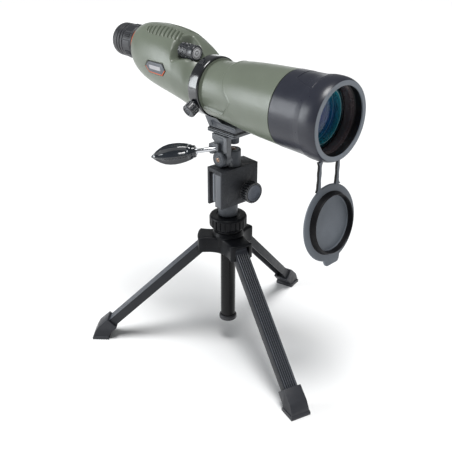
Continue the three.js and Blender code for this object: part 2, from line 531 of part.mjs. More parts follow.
// ---- hub with three clevis arms ----
function makeHub() {
  const outline = [];
  for (let k = 0; k < 3; k += 1) {
    const a = rad(LEG.first + 120 * k);
    const [c, s] = [Math.cos(a), Math.sin(a)];
    const place = (r, t) => [r * c - t * s, r * s + t * c];
    const next = rad(LEG.first + 120 * (k + 1));
    const start = place(HUB.arm - 3.6, HUB.half);
    const end = [(HUB.arm - 3.6) * Math.cos(next) + HUB.half * Math.sin(next),
      (HUB.arm - 3.6) * Math.sin(next) - HUB.half * Math.cos(next)];
    const mid = [8.5 * Math.cos(a + Math.PI / 3), 8.5 * Math.sin(a + Math.PI / 3)];
    // inset from the tip, and share of the half width
    const nose = [[3.6, -1], [2, -0.87], [0.4, -0.5], [0, 0], [0.4, 0.5], [2, 0.87]];
    outline.push(...nose.map(([inset, share]) => place(HUB.arm - inset, share * HUB.half)));
    const curve = new THREE.QuadraticBezierCurve(new THREE.Vector2(...start), new THREE.Vector2(...mid),
      new THREE.Vector2(...end));
    curve.getPoints(5).slice(0, -1).forEach((p) => outline.push([p.x, p.y]));
  }
  let hub = push(outline, HUB.bottom, HUB.top, 'z', 0.6);
  hub = hub.add(turned([[0, 140], [18.6, 140], [18.6, 152], [16.6, 155.6], [15, 155.6], [15, HUB.bossTop],
    [0, HUB.bossTop]], 'z', 24));
  for (let k = 0; k < 3; k += 1) {
    const turn = [0, 0, LEG.first + 120 * k];
    const tunnel = box(15.6, 60, -HUB.slot, HUB.slot, 120, 147);
    const pin = at(rod(2, -30, 30, 'y', 12), LEG.pivotR, 0, LEG.pivotZ);
    hub = cut(hub, tunnel.rotate(turn), pin.rotate(turn));
  }
  return cut(hub, rod(COLUMN.r + 0.3, 100, 200, 'z', 20));
}

piece(tripod, 'hub', makeHub(), PLASTIC);

// ---- legs: channels open below, made in the plane of one leg, x outwards ----
const LEG_LENGTH = Math.hypot(LEG.ankleR - LEG.pivotR, LEG.pivotZ - LEG.ankleZ) + 2.6;
const LEG_DROP = THREE.MathUtils.radToDeg(Math.atan2(LEG.pivotZ - LEG.ankleZ, LEG.ankleR - LEG.pivotR));

function makeLeg() {
  const { half, depth } = LEG;
  const grooves = [];
  for (let i = 0; i < 6; i += 1) {
    const t = -half + 2.1 + i * 2.42;
    grooves.push(box(12, LEG_LENGTH - 26, t, t + 1.1, depth - 0.7, depth + 1));
  }
  const blank = box(0, LEG_LENGTH, -half, half, -depth, depth);
  const nose = rod(depth, -half, half, 'y', 20);
  const hollow = box(9, LEG_LENGTH - 14, -half + 1.8, half - 1.8, -depth - 2, depth - 2.4);
  const pinHole = rod(1.9, -20, 20, 'y', 12);
  return cut(join(blank, nose), hollow, pinHole, ...grooves)
    .rotate([0, LEG_DROP, 0]).translate([LEG.pivotR, 0, LEG.pivotZ]);
}

function makeShoe() {
  const sock = [[152, 1], [170, 1], [169.5, 6.5], [165.5, 15.8], [152.1, 28.8], [140.9, 17.4], [152.2, 6]];
  const sole = [[151.4, 0], [172.4, 0], [172.4, 3.4], [171.2, 4.6], [152.6, 4.6], [151.4, 3.4]];
  const socket = box(LEG_LENGTH - 34, LEG_LENGTH + GAP, -LEG.half - GAP, LEG.half + GAP, -LEG.depth - GAP,
    LEG.depth + GAP)
    .rotate([0, LEG_DROP, 0]).translate([LEG.pivotR, 0, LEG.pivotZ]);
  return cut(join(push(sock.map(([a, b]) => [a, b]), -10.9, 10.9, 'y', 0.8),
    push(sole, -12.3, 12.3, 'y', 0.6)), socket);
}

const pinSolid = () => at(rod(1.7, -12.6, 12.6, 'y', 12), LEG.pivotR, 0, LEG.pivotZ);
['front', 'right', 'left'].forEach((name, k) => {
  const leg = new THREE.Group();
  leg.rotation.z = rad(LEG.first + 120 * k);
  tripod.add(leg);
  piece(leg, `leg_${name}`, makeLeg(), PLASTIC);
  piece(leg, `shoe_${name}`, makeShoe(), RUBBER);
  piece(leg, `leg_pin_${name}`, pinSolid(), STEEL);
});

export default group;
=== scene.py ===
"""Looks of the spotting scope, its window clamp head and its folding tripod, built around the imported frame.
Shapes are worked out in millimetres in the frame of their assembly and stored in metres."""
import json
import math

import bmesh
import bpy
import numpy as np
from mathutils import Matrix, Vector


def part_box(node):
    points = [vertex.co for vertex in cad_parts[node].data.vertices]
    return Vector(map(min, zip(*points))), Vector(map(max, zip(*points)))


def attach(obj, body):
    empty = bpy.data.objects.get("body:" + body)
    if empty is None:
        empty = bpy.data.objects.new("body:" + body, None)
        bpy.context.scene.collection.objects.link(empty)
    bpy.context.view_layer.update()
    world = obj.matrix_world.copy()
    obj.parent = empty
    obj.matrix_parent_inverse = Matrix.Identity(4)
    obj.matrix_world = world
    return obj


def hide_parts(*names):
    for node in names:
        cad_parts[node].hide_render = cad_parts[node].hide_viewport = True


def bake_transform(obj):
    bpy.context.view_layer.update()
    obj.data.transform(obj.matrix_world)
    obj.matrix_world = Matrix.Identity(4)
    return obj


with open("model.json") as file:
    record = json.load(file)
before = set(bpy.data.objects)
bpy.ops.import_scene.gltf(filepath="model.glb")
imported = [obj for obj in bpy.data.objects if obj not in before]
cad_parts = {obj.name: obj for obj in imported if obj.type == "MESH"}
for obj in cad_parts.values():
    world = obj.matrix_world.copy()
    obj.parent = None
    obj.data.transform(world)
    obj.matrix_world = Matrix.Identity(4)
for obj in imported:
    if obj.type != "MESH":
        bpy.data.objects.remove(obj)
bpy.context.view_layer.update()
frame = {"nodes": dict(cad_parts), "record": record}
RECORD = frame["record"]
BODY_OF = {n: b for b, ns in RECORD["behaviour"]["bodies"].items() for n in ns}
MM = 0.001
CORNER_STEPS = 5                        # segments on the corners of a rounded box
ON_AXIS = 1e-6                          # a smaller radius is a point on the axis
WELD = 1e-7                             # metres between points that are merged
BEVEL_FROM = 28                         # degrees between faces from which an edge is bevelled


# ---- places, from the frame ----
def span(node):
    low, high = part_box(node)
    return np.array(low) / MM, np.array(high) / MM


def middle(node):
    low, high = span(node)
    return (low + high) / 2


RIM_FRONT = -147.5                      # front face of the rim, from the collar's origin
OCULAR_RISE = 28.1                      # eyepiece axis above the optical axis
axis_x, _, axis_z = middle("rim_ring")
scope_y = span("rim_ring")[0][1] - RIM_FRONT
tripod_x, tripod_y, _ = middle("lock_nut")
pan_x, pan_y, _ = middle("pan_screw")

SCOPE = Matrix.Translation((axis_x, scope_y, axis_z))
OCULAR = SCOPE @ Matrix.Translation((0, 0, OCULAR_RISE))
TRIPOD = Matrix.Translation((tripod_x, tripod_y, 0))
HEAD = TRIPOD
CLAMP_TURN = -5                         # degrees, the clamp block stands a little askew on the column
CLAMP = Matrix.Translation((pan_x, pan_y, 0)) @ Matrix.Rotation(math.radians(CLAMP_TURN), 4, "Z")
LEG_ANGLES = {"front": -107.1, "right": 12.9, "left": 132.9}


# ---- camera ----
def make_camera(azimuth=-44.758, elevation=26.622, distance=0.86828, lens=58.21, aim_shift=-2.486,
        aim_z=159.556):
    az, el = math.radians(azimuth), math.radians(elevation)
    right = Vector((math.cos(az), math.sin(az), 0))
    back = Vector((math.sin(az) * math.cos(el), -math.cos(az) * math.cos(el), math.sin(el)))
    up = back.cross(right)
    target = Vector((tripod_x, tripod_y, aim_z)) * MM + right * aim_shift * MM
    data = bpy.data.cameras.new("camera")
    data.sensor_width, data.lens = 36, lens
    data.clip_start, data.clip_end = 0.01, 400
    cam = bpy.data.objects.new("camera", data)
    cam.matrix_world = Matrix(((right.x, up.x, back.x, 0), (right.y, up.y, back.y, 0),
        (right.z, up.z, back.z, 0), (0, 0, 0, 1)))
    cam.matrix_world.translation = target + back * distance
    bpy.context.scene.collection.objects.link(cam)
    bpy.context.scene.camera = cam


make_camera()


# ---- outlines ----
def soft(points, radius, steps=3, closed=True):
    """Outline with its corners rounded. A point may carry its own radius as a third value."""
    pts = [(p[0], p[1], p[2] if len(p) > 2 else radius) for p in points]
    out = []
    for i, (x, y, r) in enumerate(pts):
        if r <= 0 or (not closed and i in (0, len(pts) - 1)):
            out.append((x, y))
            continue
        here = np.array((x, y), float)
        before = np.array(pts[i - 1][:2], float) - here
        after = np.array(pts[(i + 1) % len(pts)][:2], float) - here
        lb, la = np.linalg.norm(before), np.linalg.norm(after)
        t = min(r, 0.48 * lb, 0.48 * la)
        a, b = here + before / lb * t, here + after / la * t
        for k in range(steps + 1):
            s = k / steps
            out.append(tuple((1 - s) ** 2 * a + 2 * s * (1 - s) * here + s * s * b))
    return out


def rounded_box(x0, x1, y0, y1, r):
    return soft([(x0, y0), (x1, y0), (x1, y1), (x0, y1)], r, CORNER_STEPS)


# ---- shapes: (vertices, faces) ----
AXES = {"x": lambda a, b, h: (h, a, b), "y": lambda a, b, h: (a, h, b), "z": lambda a, b, h: (a, b, h)}


def turned(profile, axis="y", n=96, radius=0.35, steps=2, relief=None):
    """Surface of revolution from (radius, height) pairs; relief(angle, height) moves the wall outwards."""
    open_ends = profile[0][0] < ON_AXIS and profile[-1][0] < ON_AXIS
    line = soft(profile, radius, steps, closed=not open_ends)
    put = AXES[axis]
    verts, faces, rings = [], [], []
    for r, h in line:
        if r < ON_AXIS:
            rings.append([len(verts)])
            verts.append(put(0, 0, h))
            continue
        rings.append(list(range(len(verts), len(verts) + n)))
        for k in range(n):
            a = 2 * math.pi * k / n
            rr = r + (relief(a, h, r) if relief else 0)
            verts.append(put(rr * math.cos(a), rr * math.sin(a), h))
    pairs = list(zip(rings, rings[1:])) + ([] if open_ends else [(rings[-1], rings[0])])
    for one, two in pairs:
        for k in range(n):
            j = (k + 1) % n
            if len(one) == 1 and len(two) == 1:
                continue
            if len(one) == 1:
                faces.append((one[0], two[j], two[k]))
            elif len(two) == 1:
                faces.append((one[k], one[j], two[0]))
            else:
                faces.append((one[k], one[j], two[j], two[k]))
    return np.array(verts, float), faces


def dense(profile, step):
    """The same profile with extra points, so that relief has something to move."""
    out = []
    for (r0, h0), (r1, h1) in zip(profile, profile[1:]):
        n = max(1, int(math.hypot(r1 - r0, h1 - h0) / step))
        out += [(r0 + (r1 - r0) * k / n, h0 + (h1 - h0) * k / n) for k in range(n)]
    return out + [profile[-1]]


def sharp(points, radius=0.0):
    """Points that keep their corner, or get one of the given radius."""
    return [(r, h, radius) for r, h in points]


def between(one, two):
    """Solid between two outlines of equal length."""
    n = len(one)
    faces = [tuple(range(n)), tuple(range(2 * n - 1, n - 1, -1))]
    faces += [(k, k + n, (k + 1) % n + n, (k + 1) % n) for k in range(n)]
    return np.array(one + two, float), faces


def prism(outline, start, end, axis="z"):
    put = AXES[axis]
    return between([put(a, b, start) for a, b in outline], [put(a, b, end) for a, b in outline])


def block(x0, x1, y0, y1, z0, z1):
    return prism([(x0, y0), (x1, y0), (x1, y1), (x0, y1)], z0, z1)


def rod(r, start, end, axis="y", n=48, ease=0.3):
    return turned([(0, start), (r, start), (r, end), (0, end)], axis, n, ease)


def tube(r0, r1, start, end, axis="y", n=96, ease=0.3):
    return turned([(r0, start), (r1, start), (r1, end), (r0, end)], axis, n, ease)


def joined(*shapes):
    verts, faces, base = [], [], 0
    for v, f in shapes:
        verts.append(v)
        faces += [tuple(i + base for i in face) for face in f]
        base += len(v)
    return np.vstack(verts), faces


def placed(shape, matrix):
    v, f = shape
    m = np.array(matrix)
    return v @ m[:3, :3].T + m[:3, 3], f


def shifted(shape, x=0.0, y=0.0, z=0.0):
    return placed(shape, Matrix.Translation((x, y, z)))


def spun(shape, degrees, axis):
    return placed(shape, Matrix.Rotation(math.radians(degrees), 4, axis))


def grid_solid(rows, first=None, last=None):
    """Closed solid through rings of equal length, with a fan to a point over each end ring."""
    n, top = len(rows[0]), len(rows) * len(rows[0])
    verts = [p for row in rows for p in row]
    for ring, tip in ((rows[0], first), (rows[-1], last)):
        verts.append(np.mean(ring, axis=0) if tip is None else tip)
    faces = []
    for j in range(len(rows) - 1):
        for k in range(n):
            a, b = j * n + k, j * n + (k + 1) % n
            faces.append((a, b, b + n, a + n))
    faces += [(top, (k + 1) % n, k) for k in range(n)]
    faces += [(top + 1, top - n + k, top - n + (k + 1) % n) for k in range(n)]
    return np.array(verts, float), faces


# ---- objects ----
def mesh_object(name, shape, place):
    v, f = placed(shape, place)
    mesh = bpy.data.meshes.new(name)
    mesh.from_pydata((v * MM).tolist(), [], f)
    bm = bmesh.new()
    bm.from_mesh(mesh)
    bmesh.ops.recalc_face_normals(bm, faces=bm.faces)
    bm.to_mesh(mesh)
    bm.free()
    obj = bpy.data.objects.new(name, mesh)
    bpy.context.scene.collection.objects.link(obj)
    return obj


def settle(obj):
    """Applies the modifiers."""
    deps = bpy.context.evaluated_depsgraph_get()
    mesh = bpy.data.meshes.new_from_object(obj.evaluated_get(deps))
    obj.modifiers.clear()
    obj.data = mesh


def boolean(obj, shape, place, operation="DIFFERENCE", solver="EXACT"):
    other = mesh_object("cutter", shape, place)
    mod = obj.modifiers.new("boolean", "BOOLEAN")
    mod.operation, mod.solver, mod.object = operation, solver, other
    settle(obj)
    bpy.data.objects.remove(other)


def shade(obj, angle):
    bm = bmesh.new()
    bm.from_mesh(obj.data)
    bmesh.ops.remove_doubles(bm, verts=bm.verts, dist=WELD)
    bmesh.ops.dissolve_degenerate(bm, dist=WELD, edges=bm.edges)
    limit = math.radians(angle)
    for face in bm.faces:
        face.smooth = True
    for edge in bm.edges:
        edge.smooth = len(edge.link_faces) == 2 and edge.calc_face_angle(0) < limit
    bm.to_mesh(obj.data)
    bm.free()


def piece(name, node, shape, place, surface, cuts=(), adds=(), bevel=0.0, angle=40, replace=True,
        solver="EXACT", rides=True):
    """One visible piece. It rides on its CAD node's body, and stands for the node if `replace` is true."""
    obj = mesh_object(name, shape, place)
    for extra in adds:
        boolean(obj, extra, place, "UNION", solver)
    for cutter in cuts:
        boolean(obj, cutter, place, "DIFFERENCE", solver)
    if bevel:
        mod = obj.modifiers.new("bevel", "BEVEL")
        mod.width, mod.segments, mod.limit_method = bevel * MM, 2, "ANGLE"
        mod.angle_limit = math.radians(BEVEL_FROM)
        settle(obj)
    shade(obj, angle)
    obj.data.materials.clear()
    obj.data.materials.append(surface)
    if rides:
        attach(obj, BODY_OF[node])
    if replace:
        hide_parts(node)
    return obj


def repaint(obj, surface, place, test):
    """Gives a second material to the faces for which test(centre, normal) holds in the assembly's frame."""
    obj.data.materials.append(surface)
    index = len(obj.data.materials) - 1
    inverse = place.inverted()
    turn = inverse.to_3x3()
    for face in obj.data.polygons:
        if test(inverse @ (face.center / MM), turn @ face.normal):
            face.material_index = index


# ---- materials ----
def linear(color):
    return [((c / 255 + 0.055) / 1.055) ** 2.4 if c > 10 else c / 255 / 12.92 for c in color]


class Nodes:
    """Small helper around one material's node tree."""

    def __init__(self, name):
        self.material = bpy.data.materials.new(name)
        self.material.use_nodes = True
        self.tree = self.material.node_tree
        self.shader = self.tree.nodes["Principled BSDF"]
        self.coords = self.tree.nodes.new("ShaderNodeTexCoord").outputs["Object"]

    def add(self, kind, links=None, **settings):
        node = self.tree.nodes.new(kind)
        for key, value in settings.items():
            if hasattr(node, key):
                setattr(node, key, value)
            else:
                node.inputs[key.replace("_", " ")].default_value = value
        for key, source in (links or {}).items():
            self.link(source, node.inputs[key])
        return node

    def link(self, source, target):
        self.tree.links.new(source, target)

    def stretched(self, scale):
        node = self.add("ShaderNodeMapping", {"Vector": self.coords})
        node.inputs["Scale"].default_value = scale
        return node.outputs["Vector"]

    def noise(self, scale, detail=3.0, vector=None):
        node = self.add("ShaderNodeTexNoise", {"Vector": vector or self.coords}, Scale=scale, Detail=detail,
            Roughness=0.55)
        return node.outputs["Fac"]

    def ramp(self, source, stops):
        node = self.add("ShaderNodeValToRGB", {"Fac": source})
        points = node.color_ramp.elements
        while len(points) < len(stops):
            points.new(0.5)
        for point, (place, color) in zip(points, stops):
            point.position = place
            point.color = (*color, 1) if len(color) == 3 else color
        return node.outputs["Color"]

    def band(self, source, low, high, to_low=0.0, to_high=1.0):
        node = self.add("ShaderNodeMapRange", {"Value": source})
        for key, value in zip(("From Min", "From Max", "To Min", "To Max"), (low, high, to_low, to_high)):
            node.inputs[key].default_value = value
        return node.outputs["Result"]

    def math(self, operation, a, b):
        node = self.add("ShaderNodeMath", operation=operation)
        for socket, value in zip(node.inputs, (a, b)):
            if isinstance(value, (int, float)):
                socket.default_value = value
            else:
                self.link(value, socket)
        return node.outputs[0]

    def bump(self, height, strength, distance):
        node = self.add("ShaderNodeBump", {"Height": height}, Strength=strength, Distance=distance)
        self.link(node.outputs["Normal"], self.shader.inputs["Normal"])


def surface(name, color, rough, vary, grain, scale=1600, specular=0.5, metal=0.0, patch=60, wear=0.0,
        wear_color=(150, 152, 155), rough_vary=0.08, cells=False, coat=0.0, sheen=0.0, stretch=(1, 1, 1)):
    """Moulded, painted or metal finish: colour drift `vary` in patches, fine `grain`, lighter edges."""
    n = Nodes(name)
    base = np.array(linear(color))
    drift = n.noise(patch, 4, n.stretched(stretch))
    low, high = base * (1 - vary), np.minimum(base * (1 + vary), 1)
    tint = n.ramp(drift, [(0.3, tuple(low)), (0.7, tuple(high))])
    speck = n.noise(scale * 0.55, 2)
    mixed = n.add("ShaderNodeMix", data_type="RGBA", blend_type="OVERLAY")
    mixed.inputs[0].default_value = min(1.0, vary * 2.2)
    n.link(tint, mixed.inputs[6])
    n.link(n.ramp(speck, [(0.35, (0.36, 0.36, 0.36)), (0.65, (0.64, 0.64, 0.64))]), mixed.inputs[7])
    colour = mixed.outputs[2]
    if wear:
        point = n.add("ShaderNodeNewGeometry").outputs["Pointiness"]
        edge = n.band(n.math("ADD", point, n.math("MULTIPLY", n.noise(220, 3), 0.02)), 0.525, 0.56, 0, wear)
        worn = n.add("ShaderNodeMix", data_type="RGBA")
        n.link(edge, worn.inputs[0])
        n.link(colour, worn.inputs[6])
        worn.inputs[7].default_value = (*linear(wear_color), 1)
        colour = worn.outputs[2]
    n.link(colour, n.shader.inputs["Base Color"])
    n.link(n.band(n.noise(patch * 3, 4), 0.3, 0.7, rough - rough_vary, rough + rough_vary),
        n.shader.inputs["Roughness"])
    n.shader.inputs["Metallic"].default_value = metal
    n.shader.inputs["Specular IOR Level"].default_value = specular
    if coat:
        n.shader.inputs["Coat Weight"].default_value = coat
        n.shader.inputs["Coat Roughness"].default_value = 0.12
    if sheen:
        n.shader.inputs["Sheen Weight"].default_value = sheen
        n.shader.inputs["Sheen Roughness"].default_value = 0.5
    if cells:
        cell = n.add("ShaderNodeTexVoronoi", {"Vector": n.coords}, Scale=scale)
        height = n.math("ADD", cell.outputs["Distance"], n.math("MULTIPLY", n.noise(scale * 0.5, 2), 0.8))
    else:
        height = n.noise(scale, 3, n.stretched(stretch))
    n.bump(height, grain, 0.0003)
    return n.material


# name, colour, roughness, colour drift, depth of the grain, its scale, specular level
ARMOUR = surface("armour_green", (105, 112, 99), 0.35, 0.05, 0.08, 2400, 0.65, patch=35, rough_vary=0.04)
HOOD_BLACK = surface("hood_black", (40, 42, 52), 0.31, 0.06, 0.05, 2600, 0.44, patch=30, rough_vary=0.04)
BORE_BROWN = surface("bore_brown", (66, 57, 60), 0.26, 0.1, 0.04, patch=25, rough_vary=0.04)
BORE_BLACK = surface("bore_black", (17, 16, 18), 0.36, 0.12, 0.05, 1600, 0.3)
GLOSS = surface("gloss_black", (20, 22, 27), 0.18, 0.08, 0.02, patch=40, rough_vary=0.03, coat=0.9)
GRIP_GLOSS = surface("grip_gloss", (24, 29, 36), 0.12, 0.08, 0.02, patch=40, rough_vary=0.03, coat=0.6)
RUBBER = surface("black_rubber", (35, 36, 41), 0.44, 0.12, 0.16, 1400, 0.55, patch=80, sheen=0.06)
SHOE_RUBBER = surface("shoe_rubber", (36, 37, 42), 0.42, 0.12, 0.25, 1300, 0.35, wear=0.2,
    wear_color=(92, 94, 99))
GREY_RUBBER = surface("grey_rubber", (122, 128, 136), 0.52, 0.05, 0.08, 2000, 0.35, patch=50)
# near-black: painted shade for the cap's plug ring and the side faces of its straps
CAP_PAINTED_SHADE = surface("cap_painted_shade", (18, 18, 21), 0.45, 0.1, 0.1, 1600, 0.2, patch=50)
CAST = surface("cast_grey", (66, 70, 76), 0.46, 0.14, 0.3, 1500, metal=0.2, patch=70, wear=0.35, cells=True)
POWDER = surface("powder_charcoal", (33, 34, 38), 0.42, 0.2, 1.0, 800, 0.18, patch=90, wear=0.22,
    wear_color=(112, 115, 120), cells=True)
JAW_GREY = surface("jaw_grey", (92, 98, 106), 0.42, 0.12, 0.2, 1200, metal=0.3, wear=0.3)
END_GREY = surface("end_grey", (50, 53, 59), 0.4, 0.14, 0.3, 1200, 0.35, metal=0.1, wear=0.3,
    wear_color=(150, 154, 160))
FOOT_GREY = surface("foot_grey", (56, 61, 70), 0.4, 0.08, 0.12, wear=0.25)
TRIPOD_BLACK = surface("tripod_plastic", (17, 18, 21), 0.38, 0.1, 0.16, 1300, 0.14, patch=45, wear=0.1,
    wear_color=(80, 83, 88))
# near-black: painted shade for the bottoms of the grooves on the legs
LEG_GROOVE_PAINTED_SHADE = surface("leg_groove_painted_shade", (20, 21, 24), 0.55, 0.12, 0.2, 1100, 0.2, patch=45)
KNOB_BLACK = surface("knob_black", (36, 38, 43), 0.24, 0.1, 0.08, 1600, 0.6, wear=0.3)
CAP_GREY = surface("cap_grey", (104, 110, 118), 0.5, 0.06, 0.08, 2000, 0.35, patch=40)
# darker copy of the leg plastic: painted shade for the sides and undersides of the legs
LEG_PAINTED_SHADE = surface("leg_painted_shade", (30, 31, 35), 0.42, 0.1, 0.2, 1100, 0.22, patch=45, wear=0.15,
    wear_color=(90, 93, 98))
# leg plastic, made lighter than its painted-shade copy to stand for the lit tops of the legs
LEG_GREY = surface("leg_plastic", (68, 71, 78), 0.34, 0.1, 0.2, 1100, 0.42, patch=45, wear=0.2,
    wear_color=(112, 116, 122))
COLUMN_BLACK = surface("column_black", (12, 12, 14), 0.2, 0.06, 0.02, 1600, 0.2, patch=40,
    stretch=(1, 1, 0.05))
CHROME = surface("chrome", (214, 216, 220), 0.1, 0.03, 0.03, metal=1.0, rough_vary=0.03)
SILVER = surface("silver_disc", (226, 226, 229), 0.32, 0.06, 0.06, 1500, metal=0.12)
BAR_SILVER = surface("bar_silver", (176, 174, 177), 0.4, 0.06, 0.06, 1500, metal=0.1)
COPPER = surface("copper_screw", (150, 128, 114), 0.32, 0.1, 0.1, 1500, metal=1.0)
ALUMINIUM = surface("turned_aluminium", (150, 153, 158), 0.3, 0.08, 0.08, metal=0.9, stretch=(1, 0.1, 1))
KNOB_FACE = surface("knob_face", (78, 82, 90), 0.28, 0.08, 0.08, 1800, metal=0.85)
STEEL = surface("plain_steel", (140, 142, 145), 0.3, 0.08, 0.1, metal=1.0, stretch=(1, 1, 0.1))
ORANGE = surface("orange_trim", (206, 84, 16), 0.36, 0.06, 0.04)
BADGE_GREY = surface("badge_grey", (84, 88, 95), 0.36, 0.08, 0.1, 2400)
DARK_LINE = surface("dark_line", (22, 22, 25), 0.45, 0.1, 0.05, 1600, 0.35)
INNER_BLACK = surface("inner_black", (20, 19, 21), 0.6, 0.2, 0.2, 900)


def lens_painted_reflection(name, stops, radius, centre, rough=0.04, clear=0.35, solid_from=0.9):
    """Coated lens whose base colour is painted reflection: the coating's reflected colours and bright rings
    run outwards through `stops`; inside `solid_from` it lets light through.
    """
    n = Nodes(name)
    away = n.add("ShaderNodeVectorMath", {0: n.coords}, operation="SUBTRACT")
    away.inputs[1].default_value = centre
    flat = n.add("ShaderNodeVectorMath", {0: away.outputs[0]}, operation="MULTIPLY")
    flat.inputs[1].default_value = (1, 0, 1)
    length = n.add("ShaderNodeVectorMath", {0: flat.outputs[0]}, operation="LENGTH").outputs["Value"]
    ring = n.band(length, 0.0, radius)
    smudge = n.math("MULTIPLY", n.noise(60, 3), 0.03)
    # painted reflection: the coating's reflected colours and bright rings are painted into the base colour by
    # radius
    tint = n.ramp(n.math("ADD", ring, smudge), [(place, tuple(linear(color))) for place, color in stops])
    n.link(tint, n.shader.inputs["Base Color"])
    n.link(n.band(n.noise(140, 3), 0.3, 0.7, rough, rough + 0.03), n.shader.inputs["Roughness"])
    n.shader.inputs["IOR"].default_value = 1.6
    n.shader.inputs["Coat Weight"].default_value = 0.6
    n.shader.inputs["Coat Roughness"].default_value = 0.02
    n.link(n.band(ring, solid_from - 0.3, solid_from, 1 - clear, 0.9), n.shader.inputs["Alpha"])
    return n.material


# ---- scope body ----
# Stations of the armoured body: distance, top, bottom, half width.
FRONT_TUBE = [(-88, 40.3, -40.3, 40.3), (-68, 39.3, -39.3, 39.3), (-50, 38.3, -38.3, 38.3),
    (-28, 36.6, -36.6, 36.6), (-4, 33.8, -33.8, 33.8), (8, 33, -33, 33), (19.6, 32.4, -32.4, 32.4)]
HUMP = [(38.4, 32.6, -31.4, 31.6), (41, 34.6, -31, 31.9), (47.5, 40.2, -29.4, 33), (53, 43.8, -28.2, 33.6),
    (59, 46.9, -26.9, 34.2), (67, 50.8, -24.9, 34.9), (80, 54.4, -22.2, 35), (92, 55.9, -19.9, 34.8),
    (101, 56.5, -18.2, 34.5), (115, 56.7, -15.3, 33.5), (124, 56.5, -12.8, 32.4), (132, 55.9, -9.8, 30.8),
    (138, 55, -6.9, 28.9), (143, 53.6, -3.4, 26.7), (146.2, 52, 0.9, 24.4), (147.6, 50.4, 4.6, 22.6),
    (148, 49.2, 7, 21.1)]
NECK = 31.4
BODY_POINTS = 300                       # round each ring of the body
BODY_WALL, INNER_MARGIN = 3.2, 2.8      # what lies deeper than the margin is the inner face
SCOOP = {"x": -14, "z": 36.5, "r": 14.5, "knob": 9.4, "rear": 63.5, "end": 74}
SWOOSH = [(-27, -14.5), (-13.4, -23.5), (0.8, -29.4), (7.2, -25.3), (16.7, -19.1), (27, -13.5), (37, -10.9),
          (48.4, -9.5), (64, -9.3), (90, -10.2)]                      # degrees above the side, distance
SWOOSH_LOW = -30.0
# Grip grooves: distance at the lower end, lower angle, upper angle.
GROOVES = [(122.0, 58.3, 69), (116.5, 55.8, 72), (110.1, 54.6, 75), (103.4, 55.0, 78), (97.3, 55.8, 80.5),
    (91.2, 57.2, 81), (85.3, 58.7, 81), (79.9, 60.3, 81), (74.4, 61.8, 81), (69.7, 63.9, 80.4)]
GROOVE_SLANT = 0.24


def station(y):
    """Smooth section of the body at distance y: top, bottom, half width."""
    if y <= 20.6:
        rows = FRONT_TUBE
    elif y >= 38.0:
        rows = HUMP
    else:
        return NECK, -NECK, NECK
    ys = [r[0] for r in rows]
    i = max(0, min(len(rows) - 2, int(np.searchsorted(ys, y)) - 1))
    h = ys[i + 1] - ys[i]
    t = max(0.0, min(1.0, (y - ys[i]) / h))
    out = []
    for k in (1, 2, 3):
        value = [r[k] for r in rows]
        rise = [(value[j + 1] - value[j]) / (ys[j + 1] - ys[j]) for j in range(len(rows) - 1)]

        def slope(j):
            if j == 0 or j == len(rows) - 1:
                return rise[0] if j == 0 else rise[-1]
            a, b = rise[j - 1], rise[j]
            return 0.0 if a * b <= 0 else 2 * a * b / (a + b)

        m0, m1 = slope(i) * h, slope(i + 1) * h
        out.append((2 * t**3 - 3 * t**2 + 1) * value[i] + (t**3 - 2 * t**2 + t) * m0 +
            (3 * t**2 - 2 * t**3) * value[i + 1] + (t**3 - t**2) * m1)
    return tuple(out)


def scoop_depth(y):
    """How far the body lies above the focus knob's axis at distance y, along the body's own slope."""
    top, bottom, half = station(y)
    zc, h = (top + bottom) / 2, (top - bottom) / 2
    above = zc + h * math.sqrt(1 - (SCOOP["x"] / half) ** 2) - SCOOP["z"]
    return above * 0.9 + 1.0


def scoop_relief(y, x, z):
    """Depth of the smooth dish round the focus knob at one station."""
    if not 38 < y < SCOOP["end"]:
        return 0.0
    off_axis = np.hypot(x - SCOOP["x"], z - SCOOP["z"])
    depth = max(0.0, scoop_depth(y)) * (1 - step01(y, SCOOP["rear"], SCOOP["end"]))
    reach = 1 - step01(off_axis - max(0.0, depth - 3), SCOOP["knob"] - 1.5, SCOOP["r"])
    return np.where(z > SCOOP["z"] - 16, depth * reach, 0)


def step01(x, low, high):
    t = np.clip((x - low) / (high - low), 0, 1)
    return t * t * (3 - 2 * t)


def body_relief(y, degrees, x, z):
    """Height of the moulded detail at one station, for all its angles (degrees above the -X side)."""
    side = np.where(degrees > 90, 180 - degrees, degrees)
    out = np.zeros_like(side)
    if y <= 19.8:
        line = np.interp(side, [p[0] for p in SWOOSH], [p[1] for p in SWOOSH])
        behind = np.minimum(y - line, (side - SWOOSH_LOW) * 0.58)
        out -= 2.3 * step01(behind, -0.2, 1.1)
        out += 0.5 * np.exp(-((behind + 1.0) / 0.9) ** 2)
    if 62 < y < 132:
        for low_y, low, high in GROOVES:
            gap = np.abs(y - low_y - GROOVE_SLANT * (side - low))
            reach = step01(side, low - 4.0, low - 1.5) * (1 - step01(side, high + 0.4, high + 2.4))
            out += reach * (0.5 * np.exp(-((gap - 2.0) / 0.7) ** 2) - 2.4 * np.exp(-(gap / 1.05) ** 4))
    out -= scoop_relief(y, x, z)
    if 66 < y < 115:
        inside = hex_distance(y - BADGE["y"], z - BADGE["z"])
        out -= np.where(degrees < 60, 0.9 * step01(inside, -0.25, 0.15), 0)
    return out


BADGE = {"y": 90.5, "z": 15.0}
HEXAGON = [(-19, 0), (-13.5, 7.6), (13.5, 7.2), (19, 0), (12.5, -7.4), (-12.5, -7.6)]


def hex_distance(u, v):
    """How far a point is inside the badge outline, negative outside."""
    inside = None
    for (ax, ay), (bx, by) in zip(HEXAGON, HEXAGON[1:] + HEXAGON[:1]):
        ex, ey = bx - ax, by - ay
        d = ((v - ay) * ex - (u - ax) * ey) / -math.hypot(ex, ey)
        inside = d if inside is None else np.minimum(inside, d)
    return inside


def steps_between(a, b, step):
    return list(np.arange(a, b, step))


